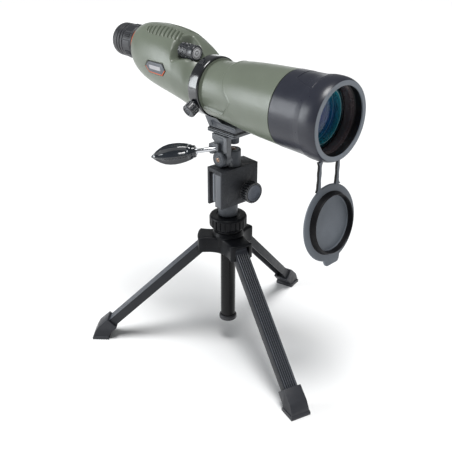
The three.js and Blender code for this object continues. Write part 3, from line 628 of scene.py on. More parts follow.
def body_ring(y, n, grow=0.0, relief=True):
    top, bottom, half = station(y)
    zc, h = (top + bottom) / 2, (top - bottom) / 2
    a = np.linspace(0, 2 * math.pi, n, endpoint=False)
    degrees = np.degrees(a)
    degrees = np.where(degrees > 270, degrees - 360, degrees)
    x, z = -half * np.cos(a), zc + h * np.sin(a)
    nx, nz = -np.cos(a) / half, np.sin(a) / h
    length = np.hypot(nx, nz)
    out = grow + (body_relief(y, degrees, x, z) if relief else -scoop_relief(y, x, z))
    return np.stack([x + nx / length * out, np.full(n, y), z + nz / length * out], 1)


def body_solid():
    ys = (steps_between(-87.4, -38, 2.5) + steps_between(-38, 19.4, 0.55) + [19.6, 20.1] +
        steps_between(38.4, 66, 0.7) + steps_between(66, 128, 0.42) + steps_between(128, 147.8, 0.7) +
        [148.0])
    rows = []
    for y in ys:
        if y > 30 and rows and rows[-1][0][1] < 30:
            for yy, r in ((20.5, 32.0), (20.7, NECK + 0.2), (21.0, NECK), (37.6, NECK), (37.9, NECK + 0.25),
                    (38.1, NECK + 0.7)):
                a = np.linspace(0, 2 * math.pi, BODY_POINTS, endpoint=False)
                rows.append(np.stack([-r * np.cos(a), np.full(BODY_POINTS, yy), r * np.sin(a)], 1))
        rows.append(body_ring(y, BODY_POINTS))
    return grid_solid(rows)


def body_hollow():
    ys = [-90, -60, -30, 0, 19, 22, 36, 38.2] + steps_between(40, 76, 1.5) + [80, 92, 115, 132, 142]
    return grid_solid([body_ring(y, 180, -BODY_WALL, False) for y in ys])


def carved(shape, cutter):
    """A shape less another one, as a plain shape again."""
    here = Matrix.Identity(4)
    obj = mesh_object("carved", shape, here)
    boolean(obj, cutter, here, solver="MANIFOLD")
    verts = np.array([tuple(v.co / MM) for v in obj.data.vertices])
    faces = [tuple(p.vertices) for p in obj.data.polygons]
    bpy.data.objects.remove(obj)
    return verts, faces


def make_body():
    def pocket(wall):
        r = SCOOP["knob"] + wall
        return shifted(turned([(0, 37.8), (r, 37.8), (r, 66.2 + wall), (0, 66.2 + wall)], "y", 96, 0.1, 5),
            SCOOP["x"], 0, SCOOP["z"])

    eye_hole = shifted(rod(17.4, 138, 152), z=OCULAR_RISE)
    obj = piece("body", "body_shell", body_solid(), SCOPE, ARMOUR,
        cuts=(pocket(0), carved(body_hollow(), pocket(2.6)), eye_hole), angle=46, solver="MANIFOLD")
    repaint(obj, INNER_BLACK, SCOPE, lambda c, normal: is_inside(c))


def is_inside(c):
    if c.y > 141 or c.y < -87:
        return math.hypot(c.x, c.z) < 37 and c.y < 0
    top, bottom, half = station(c.y)
    in_scoop = math.hypot(c.x - SCOOP["x"], c.z - SCOOP["z"]) < 25 and 37 < c.y < SCOOP["end"] + 0.5
    across, height = half - INNER_MARGIN, (top - bottom) / 2 - INNER_MARGIN
    return not in_scoop and (c.x / across) ** 2 + ((c.z - (top + bottom) / 2) / height) ** 2 < 1


def on_badge(u, v, out):
    """Point on the -X side of the body, u and v from the middle of the badge and raised by `out`."""
    y, z = BADGE["y"] + u, BADGE["z"] + v
    top, bottom, half = station(y)
    zc, h = (top + bottom) / 2, (top - bottom) / 2
    return (-(half * math.sqrt(1 - ((z - zc) / h) ** 2) + out), y, z)


def surface_patch(outline, lift, sink, rings=6, parts=3):
    """Curved plate inside the outline, from `sink` under the body's surface to `lift` above it."""
    pts = []
    for (ax, ay), (bx, by) in zip(outline, outline[1:] + outline[:1]):
        pts += [(ax + (bx - ax) * k / parts, ay + (by - ay) * k / parts) for k in range(parts)]
    levels = [(1.0, -sink), (1.0, lift - 0.25), (0.985, lift - 0.06), (0.96, lift)]
    levels += [(0.96 * (1 - k / rings), lift) for k in range(1, rings)]
    rows = [[on_badge(u * s, v * s, out) for u, v in pts] for s, out in levels]
    return grid_solid(rows, on_badge(0, 0, -sink), on_badge(0, 0, lift))


def edge_strip(outer, inner, lift):
    """Narrow raised strip between two lines along the badge's lower edge."""
    rows = []
    for o0, o1, i0, i1 in zip(outer, outer[1:], inner, inner[1:]):
        for t in np.arange(9 if o1 is outer[-1] else 8) / 8:
            a, b = (np.array(p) + (np.array(q) - np.array(p)) * t for p, q in ((o0, o1), (i0, i1)))
            rows.append([on_badge(*a, -0.4), on_badge(*a, lift), on_badge(*b, lift), on_badge(*b, -0.4)])
    return grid_solid(rows)


def make_badge():
    rim = soft(HEXAGON, 2.2, 3)
    frame_line, plate_line = ([(u * s, v * t) for u, v in rim] for s, t in ((0.975, 0.95), (0.90, 0.83)))
    outer = [(-18.0, 0.2), (-12.1, -6.7), (12.1, -6.5), (17.8, 0.0)]
    inner = [(-16.9, 0.2), (-11.6, -5.7), (11.6, -5.5), (16.7, 0.0)]
    bar = soft([(-10.5, -1.8), (9.5, -1.8), (10.9, 2.6), (-9.3, 2.6)], 0.8, 3)
    parts = (
        ("badge_frame", surface_patch(frame_line, -0.15, 0.8), DARK_LINE),
        ("badge_plate", surface_patch(plate_line, 0.28, 0.5), BADGE_GREY),
        ("badge_orange_line", edge_strip(outer, inner, 0.30), ORANGE),
        ("badge_bar", surface_patch(bar, 0.55, 0.3, 4), BAR_SILVER))
    for name, shape, look in parts:
        piece(name, "name_badge", shape, SCOPE, look, replace=name == "badge_frame")


# ---- objective end ----
TONGUE = {"rear": -103.2, "front": -129.2, "rear_half": 23.5, "front_half": 36.5}


def hood_relief(a, y, r):
    """Groove round the tongue panel on top of the hood; a is measured from +X towards the top."""
    if r < 40 or not -132 < y < -100:
        return 0.0
    off = abs(math.degrees(a) - 90)
    if off > 45:
        return 0.0
    t = (y - TONGUE["rear"]) / (TONGUE["front"] - TONGUE["rear"])
    half = TONGUE["rear_half"]
    if t > 0:
        half += (TONGUE["front_half"] - half) * t ** 0.8
    inside = min((half - off) * 0.72, TONGUE["rear"] - y, y - TONGUE["front"])
    if inside > 3:
        return -0.22
    return -0.22 * float(step01(inside, 0, 1)) - 0.55 * math.exp(-(inside / 0.42) ** 4)


def make_hood():
    barrel = [(40.6, -88.8), (41.0, -104), (41.4, -117), (41.7, -121), (42.3, -125), (42.9, -128.5),
        (43.05, -132)]
    shoulder = [(43.05, -137), (42.75, -140.6), (42.2, -143.2), (41.4, -145.4), (40.5, -147.0),
        (40.35, -146.9), (40.35, -145)]
    bore = [(37.1, -145), (36.7, -144.4), (36.7, -137.4), (35.3, -136.9), (35.3, -136.3), (34.5, -136.1),
        (34.5, -135.8), (35.2, -135.5), (35.2, -135.1), (34.4, -134.9), (34.4, -134.6), (34.9, -134.3),
        (34.3, -134.0), (33.7, -125.7), (35.6, -125.5), (35.6, -96.4), (34.4, -96.4), (34.4, -75),
        (37.4, -75)]
    line = [(37.6, -88.3), (40.2, -88.3)] + dense(barrel, 0.45) + shoulder
    shape = turned(sharp(line) + sharp(bore, 0.12), "y", 360, 0.22, 2, relief=hood_relief)
    obj = piece("hood", "objective_hood", shape, SCOPE, HOOD_BLACK, angle=42)
    repaint(obj, BORE_BLACK, SCOPE, lambda c, normal: math.hypot(c.x, c.z) < 37.6)
    repaint(obj, BORE_BROWN, SCOPE, lambda c, normal: math.hypot(c.x, c.z) < 35.4 and -136.8 < c.y < -125)
    piece("rim", "rim_ring", turned([(35.3, -147.5, 0.5), (40.2, -147.5, 0.7), (40.2, -145.3, 0.1),
        (36.0, -145.3, 0.2), (35.3, -145.9, 0.2)], "y", 192, 0.4, 4), SCOPE, GREY_RUBBER)


def dome(base, rise, radius, start, end, count):
    """Profile points of a curved lens face, from one radius to another."""
    return [(r, base + rise * (r / radius) ** 2) for r in np.linspace(start, end, count)]


def make_objective():
    piece("cell", "objective_cell", turned([(35.3, -123.2), (35.3, -96.9), (30.5, -96.9), (30.5, -98.6),
        (32.8, -98.6), (32.8, -123.2)], "y", 128, 0.3), SCOPE, BORE_BLACK)
    centre = [v * MM for v in SCOPE.translation]
    # painted reflection: teal and violet coating colours, with a bright painted highlight ring near each
    # lens's rim
    front = lens_painted_reflection("front_lens_glass", [(0.0, (52, 60, 140)), (0.5, (30, 88, 140)),
        (0.80, (26, 128, 150)), (0.90, (40, 150, 168)), (0.93, (170, 210, 216)), (0.955, (24, 90, 104))],
        0.0322, centre, clear=0.62, solid_from=0.92)
    rear = lens_painted_reflection("rear_lens_glass", [(0.0, (92, 86, 190)), (0.62, (70, 96, 196)),
        (0.80, (170, 190, 230)), (0.86, (40, 150, 180))], 0.031, centre, rough=0.08, clear=0.05)
    front_line = ([(0, -128.2)] + dome(-128.2, 4.4, 32.4, 3, 32.3, 16) + [(32.4, -115.4)] +
        dome(-111.6, -3.7, 32.4, 31, 3, 8) + [(0, -111.6)])
    rear_line = ([(0, -107.9)] + dome(-107.9, -4.0, 32.4, 3, 30.2, 12) + [(32.0, -111.0), (32.0, -99),
        (28, -99)] + dome(-102.4, 3.4, 28, 25, 4, 6) + [(0, -102.4)])
    piece("front_lens", "objective_front_lens", turned(front_line, "y", 128, 0.0), SCOPE, front)
    piece("rear_lens", "objective_rear_lens", turned(rear_line, "y", 128, 0.0), SCOPE, rear)
    piece("retainer", "objective_retainer", turned([(32.6, -125.3), (33.3, -125.3), (33.3, -123.4),
        (32.6, -123.4)], "y", 128, 0.15), SCOPE, GLOSS)


# ---- lens cap ----
CAP = {"y": -136, "top": -43.8, "strap_x": 14.7, "fold": -69.3, "drop": 42, "lean": 7.8, "r": 41.5,
    "reach": 3.6}
FOLD = SCOPE @ Matrix.Translation((0, CAP["y"], CAP["fold"]))
CAP_PLACE = FOLD @ Matrix.Rotation(math.radians(-CAP["lean"]), 4, "X")


def strap(side):
    """One rubber strap, from under the hood down on to the flange; side is -1 or 1."""
    top = CAP["top"] - CAP["fold"] + 3.0
    lean = math.radians(CAP["lean"])
    rows = []
    for z in np.linspace(top, -CAP["reach"], 56):
        end = max(0.0, 1 - (top - z) / 5.0) ** 2 * 1.6 + max(0.0, 1 - (z + CAP["reach"]) / 6.5) ** 2 * 3.0
        half = 2.2 + 0.26 * math.sin(0.5 * z) + end
        front, back = (-1.45, 1.45) if z > 0 else (-1.45, 1.25)
        left, right = side * CAP["strap_x"] - half, side * CAP["strap_x"] + half
        section = soft([(left, front), (right, front), (right, back), (left, back)], 0.7, 3)
        bent = lean * float(step01(-z, -1.5, 1.5))
        sink = z * math.sin(bent) if z < 0 else 0.0
        rows.append([(x, y + sink, z) for x, y in section])
    return grid_solid(rows)


def make_cap():
    r, drop = CAP["r"], CAP["drop"]
    straps = piece("straps", "cap_strap", strap(-1), FOLD, CAP_GREY, adds=(strap(1),), angle=50,
        rides=False)
    # painted shade: the straps' side faces, turned across the cap, are painted dark
    repaint(straps, CAP_PAINTED_SHADE, FOLD, lambda p, normal: abs(normal.x) > 0.6)
    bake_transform(straps)
    disc = turned([(0, -0.4), (30.1, -0.4, 0.8), (30.3, -6.6, 0.5), (30.7, -7.3, 0.5), (31.5, -7.3, 0.5),
        (32.1, -6.6, 0.4), (33.5, -1.3, 0.5), (r - 0.6, -1.2, 0.6), (r, -0.6, 0.5), (r, 0.8, 0.6),
        (r - 0.8, 1.4, 0.6), (0, 1.4)], "y", 176, 0.5, 4)
    tab = prism(soft([(-13.2, -r + 4.5), (13.2, -r + 4.5), (11.6, -r - 2, 2), (9.2, -r - 5, 1.6),
        (-9.2, -r - 5, 1.6), (-11.6, -r - 2, 2)], 1.0, 4), -1.1, 1.3, "y")
    disc, tab = shifted(disc, 0, 0, -drop), shifted(tab, 0, 0, -drop)
    obj = piece("cap", "lens_cap", disc, CAP_PLACE, CAP_GREY, adds=(tab,), bevel=0.3)
    # painted shade: the walls and lip of the cap's plug ring are painted dark
    repaint(obj, CAP_PAINTED_SHADE, CAP_PLACE,
        lambda p, normal: p.y < -1.25 and 29 < math.hypot(p.x, p.z + drop) < 34)
    # painted highlight: a thin ring of lighter rubber stands for the light caught on the inner edge of the
    # plug's lip
    ring = shifted(tube(29.0, 29.6, -1.0, -0.2, "y", 128, 0.15), 0, 0, -drop)
    piece("cap_painted_highlight_line", "lens_cap", ring, CAP_PLACE, GREY_RUBBER, replace=False)


# ---- focus knob ----
def pulse(t, width, edge):
    """1 near whole numbers of t, 0 elsewhere."""
    d = abs(t - round(t))
    return float(1 - step01(d, width, width + edge))


def tread(a, y, r):
    if r < 7.9 or not 51.4 < y < 64.2:
        return 0.0
    turn = a / (2 * math.pi)
    one = pulse(turn * 9 + y * 0.16, 0.14, 0.10)
    two = pulse(turn * 9 - y * 0.16, 0.14, 0.10)
    return -0.75 + 0.75 * max(one, two)


def make_focus_knob():
    wall = dense([(8.75, 51.2), (8.8, 64.4)], 0.3)
    knob = turned([(0, 43.4), (6.7, 43.4), (6.9, 41.7, 0.3), (7.9, 41.7, 0.6), (8.6, 42.6, 0.5),
        (8.65, 49.8, 0.3), (8.1, 50.2, 0.2), (8.1, 50.8, 0.2)] + sharp(wall) +
        [(8.1, 65.3, 0.3), (3, 65.5), (0, 65.5)], "y", 216, 0.35, 2, relief=tread)
    at = Matrix.Translation((SCOOP["x"], 0, SCOOP["z"]))
    piece("focus_wheel", "focus_knob", placed(knob, at), SCOPE, KNOB_BLACK, angle=50)
    disc = turned([(0, 41.9), (1.7, 41.9), (1.9, 42.2), (2.4, 42.2), (2.6, 41.9), (4.9, 41.9), (5.1, 42.25),
        (5.6, 42.25), (5.8, 41.9), (6.4, 42.0), (6.5, 43.0), (0, 43.0)], "y", 72, 0.08, 1)
    obj = piece("focus_disc", "focus_knob_disc", placed(disc, at), SCOPE, SILVER)

    def in_ring(p, normal):
        r = math.hypot(p.x, p.z)
        return p.y > 42.1 and (1.7 < r < 2.6 or 4.9 < r < 5.8)

    repaint(obj, DARK_LINE, SCOPE @ at, in_ring)


# ---- eyepiece ----
def zoom_relief(a, y, r):
    if r < 19.8 or not 153.8 < y < 168.8:
        return 0.0
    turn = math.degrees(a) % 60
    off = min(turn, 60 - turn)                       # pads are centred on multiples of 60 degrees
    pad = (1 - step01(off, 14.6, 15.6)) * step01(y, 154.6, 155.2) * (1 - step01(y, 167.4, 168.0))
    fine = 0.12 * (pulse(a * 26, 0.2, 0.2) * pulse(y * 1.1, 0.2, 0.2))
    gap = abs(turn - 30)
    bars = max(1 - float(step01(abs(gap - c), 1.1, 1.9)) for c in (0, 5.6))
    bars *= float(step01(y, 156.0, 156.6) * (1 - step01(y, 166.2, 166.8)))
    return float(pad) * (0.55 + fine) + 1.0 * bars


def make_eyepiece():
    piece("barrel", "eyepiece_barrel", turned([(15.2, 141), (17, 141), (17, 148.3), (20.3, 148.3, 0.4),
        (20.3, 149.9, 0.4), (17, 149.9), (17, 185.4), (16.4, 186), (13.2, 186), (13.2, 183.2),
        (15.2, 183.2)], "y", 128, 0.25), OCULAR, GLOSS)
    piece("trim_ring", "orange_ring", turned([(17.3, 150.1), (20.3, 150.1, 0.2), (20.55, 150.4, 0.2),
        (20.5, 151.3, 0.2), (17.3, 151.5)], "y", 160, 0.3, 3), OCULAR, ORANGE)
    wall = dense([(20.1, 153.4), (20.1, 169.2)], 0.3)
    grip = turned([(17.3, 152), (19.6, 152, 0.3), (19.9, 153.2, 0.2)] + sharp(wall) +
        [(19.4, 170.3, 0.3), (17.3, 170.4)], "y", 480, 0.3, 2, relief=zoom_relief)
    piece("zoom_grip_ring", "zoom_ring", grip, OCULAR, RUBBER, angle=50)
    piece("eye_cup", "eyecup", turned([(17.3, 170.8), (19.6, 170.8, 0.3), (19.9, 171.4, 0.3),
        (19.9, 174.2, 0.5), (18.8, 174.6, 0.3), (18.8, 175.8, 0.3), (19.9, 176.2, 0.5), (19.9, 179.0, 0.5),
        (19.1, 179.4, 0.3), (19.1, 180.4, 0.3), (19.9, 180.8, 0.5), (19.8, 187, 1.6), (18.6, 189.6, 1.2),
        (17.2, 190, 0.8), (14.6, 189.2, 0.8), (14.2, 187.6, 0.5), (15.4, 186.6), (17.3, 186.6)], "y", 144,
        0.3, 4), OCULAR, RUBBER)
    centre = [v * MM for v in OCULAR.translation]
    glass = lens_painted_reflection("eye_lens_glass", [(0.0, (30, 48, 70)), (0.7, (40, 92, 92)), (0.97, (14, 30, 34))],
        0.0145, centre, clear=0.3)
    piece("ocular_lens", "eye_lens", turned([(0, 176.2), (14.9, 178.4), (14.9, 181.6), (12, 182.0),
        (6, 182.6), (0, 182.8)], "y", 72, 0.2), OCULAR, glass)


# ---- collar, foot and lock knob ----
LOCK = {"angle": 28, "y": 29.5}
LOCK_AT = Matrix.Translation((0, LOCK["y"], 0)) @ Matrix.Rotation(math.radians(-LOCK["angle"]), 4, "Y")
FOOT_Z = -43.3


def ribs(radius, depth, count, low, high, width=0.30):
    """Relief of straight ribs round a cylinder between two heights."""
    def relief(a, h, r):
        if r < radius - 0.4 or not low < h < high:
            return 0.0
        return -depth * (1 - pulse(a / (2 * math.pi) * count, width, 0.12))
    return relief


def make_collar():
    ring = turned([(31.7, 22), (33.1, 22, 0.6), (34, 23.2, 0.8), (34, 35.8, 0.8), (33.1, 37, 0.6),
        (31.7, 37)], "y", 192, 0.4, 4)
    boss = placed(turned([(0, -35.3), (3.6, -35.3, 1.0), (5.6, -34.2, 0.8), (5.6, -31.9), (0, -31.9)], "x",
        48, 0.5), LOCK_AT)
    bore = placed(rod(2.4, -50, -20, "x", 24), LOCK_AT)
    piece("collar", "collar_ring", ring, SCOPE, GLOSS, adds=(boss,), cuts=(bore,), angle=38)
    wall = dense([(8.0, -44.6), (8.0, -36.4)], 1.2)
    knob = turned([(0, -44.9), (4.9, -44.9, 0.4), (5.4, -45.9, 0.4), (7.2, -46, 0.8), (7.9, -45.2, 0.4)] +
        sharp(wall) + [(7.2, -35.6, 0.5), (2.2, -35.6, 0.1), (2.2, -31.9), (0, -31.9)],
        "x", 240, 0.3, 2, relief=ribs(8.0, 0.45, 36, -45.0, -36.0))
    piece("lock_knob", "collar_lock_knob", placed(knob, LOCK_AT), SCOPE, KNOB_BLACK, angle=50)
    cap = placed(joined(tube(3.0, 4.5, -45.3, -44.8, "x", 48, 0.15),
        rod(1.4, -45.3, -44.8, "x", 24, 0.15)), LOCK_AT)
    piece("lock_knob_mark", "collar_lock_knob", cap, SCOPE, FOOT_GREY, replace=False)
    side = soft([(36.4, -27), (34, -31.5), (26.5, FOOT_Z), (-15, FOOT_Z), (-15, -37), (6, -36.2), (21, -30),
        (22, -27)], 1.0, 2)
    panel = prism(soft([(20.5, -34.5), (23.5, -36.2), (20.5, -41.6), (-12.6, -41.6), (-12.6, -38.6),
        (6, -37.8)], 0.5), -12.5, -11.0, "x")
    screw_hole = shifted(rod(2.7, -60, -37.5, "z", 24), y=-1.5)
    piece("foot", "collar_foot", prism(side, -11.5, 11.5, "x"), SCOPE, FOOT_GREY,
        cuts=(rod(34.3, 10, 50, "y", 128), panel, shifted(panel, 23.5), screw_hole), bevel=0.35)


# ---- head ----
PIVOT = {"y": 2.5, "z": 246.5}
AXIS_X = 7.4
HANDLE_START, HANDLE_END = Vector((-14, 11.2, 257.5)), Vector((-57.6, 65.6, 245))
handle_dir = (HANDLE_END - HANDLE_START).normalized()
HANDLE = HEAD @ Matrix.Translation(HANDLE_START) @ handle_dir.to_track_quat("Y", "Z").to_matrix().to_4x4()
PLATE = {"bottom": 274.0, "top": 277.4}


def at_pivot(shape):
    return shifted(shape, 0, PIVOT["y"], PIVOT["z"])


def cross_slot(r, top, axis):
    one, two = block(-r, r, -0.42, 0.42, -0.9, 0.9), block(-0.42, 0.42, -r, r, -0.9, 0.9)
    if axis == "x":
        one, two = spun(one, 90, "Y"), spun(two, 90, "Y")
        return [shifted(one, top), shifted(two, top)]
    return [shifted(one, 0, 0, top), shifted(two, 0, 0, top)]


def make_platform():
    hole = shifted(rod(3.6, 270, 285, "z", 32), AXIS_X, -1.5)
    ledge = prism(rounded_box(-8.6, -4.6, -16.6, 28.6, 0.2), 275.4, 276.2)
    piece("platform_plate", "platform", prism(rounded_box(-6.6, 21.4, -16, 28, 3), PLATE["bottom"],
        PLATE["top"]), HEAD, CAST, cuts=(hole, ledge), bevel=0.45)
    lines = [prism(rounded_box(-7, 22, -14 + 4.6 * k, -13.2 + 4.6 * k, 0.1), 278.3, 279.5)
        for k in range(9)]
    piece("platform_cork", "platform_pad", prism(rounded_box(-5.6, 20.4, -15, 27, 2.5), 277.6, 278.7), HEAD,
        RUBBER, cuts=(hole, *lines))
    wall = dense([(6.2, 263.6), (6.2, 270.2)], 1)
    knob = turned([(0, 262.5), (5, 262.5, 0.5), (6.2, 263.4, 0.4)] + sharp(wall) + [(5.6, 271, 0.4),
        (3.2, 271), (3.2, 273.7), (2.5, 273.9), (2.5, 284.2, 0.5), (0, 284.4)], "z", 120, 0.3, 2,
        relief=ribs(6.2, 0.5, 18, 263.5, 270.5))
    piece("quick_knob", "mount_screw", shifted(knob, AXIS_X, -1.5), HEAD, FOOT_GREY, angle=50)


def make_bracket():
    y, z = PIVOT["y"], PIVOT["z"]
    lobe = at_pivot(rod(10, -8.9, -3.2, "x", 64, 0.05))
    web = prism([(y - 9.8, z), (y + 9.8, z), (10, 262), (17, 268), (17, 273.7), (-8, 273.7), (-8, 256)],
        -8.9, -3.2, "x")
    shelf = prism([(-8, 270.4), (17, 270.4), (17, 273.7), (-8, 273.7)], -8.9, 0.4, "x")
    boss = prism(soft([(3.5, 252.8), (16, 250.6), (18.6, 253.6), (17.4, 263), (3.5, 265)], 1.2, 3), -13.2,
        -3.2, "x")
    # the upper bar stands a little proud of the web, as on the casting
    bar = prism([(-8.0, 256.6), (-2.6, 254.0), (-2.6, 273.4), (-8.0, 273.4)], -10.2, -8.4, "x")
    bore = placed(rod(3.1, -6, 24, "y", 32), HEAD.inverted() @ HANDLE)
    piece("tilt_arm", "tilt_bracket", web, HEAD, CAST, adds=(lobe, shelf, boss),
        cuts=(at_pivot(rod(3, -30, 5, "x", 32)), bore, at_pivot(rod(10.1, -30, -9.2, "x", 64))), bevel=0.55)
    piece("tilt_arm_bar", "tilt_bracket", bar, HEAD, CAST, bevel=0.4, replace=False)
    piece("tilt_disc", "tilt_cheek", at_pivot(turned([(3, -13.8, 0.3), (7.6, -13.8, 0.8), (9.2, -12.9, 0.6),
        (9.6, -11.4, 0.3), (9.6, -9.2), (3, -9.2)], "x", 72, 0.3, 3)), HEAD, CAST)
    screw = turned([(0, -15.0), (1.6, -14.9), (2.6, -14.4, 0.4), (2.8, -13.9), (2.7, -13.8), (2.7, -2.4),
        (0, -2.4)], "x", 40, 0.3, 3)
    piece("tilt_bolt", "tilt_screw", at_pivot(screw), HEAD, COPPER,
        cuts=[at_pivot(s) for s in cross_slot(1.7, -15.2, "x")])
    piece("tilt_washer", "tilt_screw", at_pivot(tube(2.9, 4.6, -14.2, -13.7, "x", 48, 0.15)), HEAD, CAST,
        replace=False)


def make_pan():
    post = shifted(turned([(2.4, 236.7), (10.4, 236.7, 0.4), (10.2, 238.2, 0.6), (9.5, 239.2, 0.6),
        (9.4, 254.6, 0.4), (8.6, 255.6, 0.5), (4.4, 255.6, 0.3), (4.4, 254.2, 0.1), (2.4, 254.2)], "z", 96,
        0.3, 3), AXIS_X)
    ear = at_pivot(rod(9.2, -2.9, 3, "x", 64, 0.2))
    lower = block(-2.9, 4, -6.5, 11.4, 237, 249)
    bore = at_pivot(rod(2.9, -30, -1.5, "x", 32))
    piece("pan_post", "pan_base", post, HEAD, CAST, adds=(ear, lower), cuts=(bore,), bevel=0.3)
    screw = shifted(turned([(0, 238), (2.1, 238), (2.1, 254.4), (3.9, 254.5, 0.2), (4.0, 255.2, 0.3),
        (2.6, 256.3, 0.5), (0, 256.6)], "z", 40, 0.2, 3), AXIS_X)
    piece("pan_bolt", "pan_screw", screw, HEAD, COPPER,
        cuts=[shifted(s, AXIS_X) for s in cross_slot(2.2, 256.7, "z")])


FLUTES = 6
GRIP = [(18.6, 4.6), (18.9, 6.2), (19.6, 7.0), (22.6, 7.4), (23.6, 8.4), (27, 9.6), (32, 10.9), (38, 11.9),
    (44, 12.3), (50, 12.0), (56, 10.7), (61, 8.5), (65.5, 5.7), (69, 3.0), (71.6, 0.8)]


def make_handle():
    piece("handle_bar", "handle_rod", turned([(0, -4), (2.6, -4), (2.6, 59.4), (0, 59.6)], "y", 48, 0.3),
        HANDLE, CHROME)
    ys = np.concatenate([np.linspace(18.6, 24, 10), np.linspace(24.8, 71.6, 70)])
    radii = np.interp(ys, [g[0] for g in GRIP], [g[1] for g in GRIP])
    for _ in range(3):
        radii[10:-1] = (radii[9:-2] + 2 * radii[10:-1] + radii[11:]) / 4
    n = FLUTES * 24
    t = (np.arange(n) % 24) / 24
    scallop = np.sin(np.pi * np.clip((t - 0.08) / 0.84, 0, 1)) ** 0.8
    rows = []
    for y, r in zip(ys, radii):
        deep = min(3.0, 0.34 * r) * float(step01(y, 24.5, 30) * (1 - step01(y, 62, 71)))
        a = 2 * np.pi * np.arange(n) / n
        rr = r - deep * scallop
        rows.append(np.stack([rr * np.cos(a), np.full(n, y), rr * np.sin(a)], 1))
    piece("grip", "handle_grip", grid_solid(rows), HANDLE, GRIP_GLOSS, cuts=(rod(2.9, 10, 60, "y", 32),),
        angle=32)
    piece("grip_collar", "handle_grip", tube(2.95, 4.2, 17.4, 18.7, "y", 48, 0.3), HANDLE, CHROME,
        replace=False)


# ---- window clamp ----
BLOCK = {"x": 27.4, "y": 12.9, "bottom": 191.0, "top": 236.4}
SCREW = {"x": 8.6, "z": 207.0}


def at_screw(shape):
    return shifted(shape, SCREW["x"], 0, SCREW["z"])


def make_clamp():
    bx, by, low, top = BLOCK["x"], BLOCK["y"], BLOCK["bottom"], BLOCK["top"]
    slot = block(-bx - 2, bx + 2, -1.2, 9.1, low - 2, top - 4)
    piece("clamp_block", "clamp_frame", prism(rounded_box(-bx, bx, -by, by, 1.2), low, top), CLAMP, POWDER,
        cuts=(slot, at_screw(rod(3.2, -20, 5, "y", 32)), rod(2.4, top - 5, top + 5, "z", 24)), bevel=0.55)
    inlay = joined(block(-bx - 0.12, -bx + 0.3, -by + 1.6, -1.8, low + 1.2, top - 4.8),
        block(bx - 0.3, bx + 0.12, -by + 1.6, -1.8, low + 1.2, top - 4.8))
    piece("clamp_end_faces", "clamp_frame", inlay, CLAMP, END_GREY, bevel=0.1, replace=False)
    plate = prism(rounded_box(-25.6, 25.6, 194.6, 230.6, 2), 1.8, 4.9, "y")
    piece("jaw", "jaw_plate", plate, CLAMP, JAW_GREY, adds=(at_screw(rod(5, 0.7, 2.2, "y", 32)),),
        cuts=(at_screw(rod(3.1, 0, 3.9, "y", 32)),), bevel=0.4)
    for name, node, y0, y1 in (("jaw_rubber", "jaw_pad", 5.2, 6.2), ("wall_rubber", "wall_pad", 7.9, 8.8)):
        piece(name, node, prism(rounded_box(-25, 25, 195.2, 230, 2), y0, y1, "y"), CLAMP, RUBBER, bevel=0.2)
    thread = thread_line(2.8, 0.3, 1.25, -15.6, 1.5)
    shaft = [(0, -24.6), (2.8, -24.6), *thread, (2.8, 3.6, 0.4), (0, 3.6)]
    piece("spindle", "clamp_screw", at_screw(turned(shaft, "y", 32, 0.1, 1)), CLAMP, STEEL)
    wall = dense([(12.5, -27.6), (12.5, -18.2)], 1.5)
    knob = turned([(3.1, -24.9), (5, -25.3), (9.5, -26.7), (10.6, -28.1, 0.3), (11.6, -28.4, 0.6)] +
        sharp(wall) + [(11.6, -17.6, 0.6), (6.2, -17.4, 0.3), (6, -16, 0.3), (3.1, -16)],
        "y", 336, 0.3, 2, relief=ribs(12.5, 1.35, 24, -28.0, -17.9, 0.26))
    piece("clamp_wheel", "clamp_knob", at_screw(knob), CLAMP, KNOB_BLACK, angle=50)
    dish = [(0, -26.4)] + [(r, -26.4 - 1.7 * (r / 10) ** 2.2) for r in np.linspace(1.5, 9.8, 8)]
    piece("clamp_wheel_face", "clamp_knob_insert",
        at_screw(turned(dish + [(10.0, -27.9), (9.2, -27.0), (4.9, -25.8), (0, -25.3)], "y", 96, 0.1, 1)),
        CLAMP, KNOB_FACE)


def thread_line(r, depth, pitch, start, end):
    out = []
    for k in range(int((end - start) / pitch)):
        h = start + k * pitch
        out += [(r, h, 0.0), (r - depth, h + pitch / 2, 0.0)]
    return out


# ---- column, nut and hub ----
HUB = {"bottom": 130.5, "top": 150.0, "arm": 36.6, "half": 14.2, "slot": 9.0, "nose": 3.6, "waist": 8.0}


def nut_relief(a, h, r):
    if r < 19.5 or not 160.5 < h < 173.4:
        return 0.0
    depth = 1.15 * float(step01(h, 160.6, 163.0) * (1 - step01(h, 172.4, 173.3)))
    return -depth * (1 - pulse(a / (2 * math.pi) * 24, 0.30, 0.08))


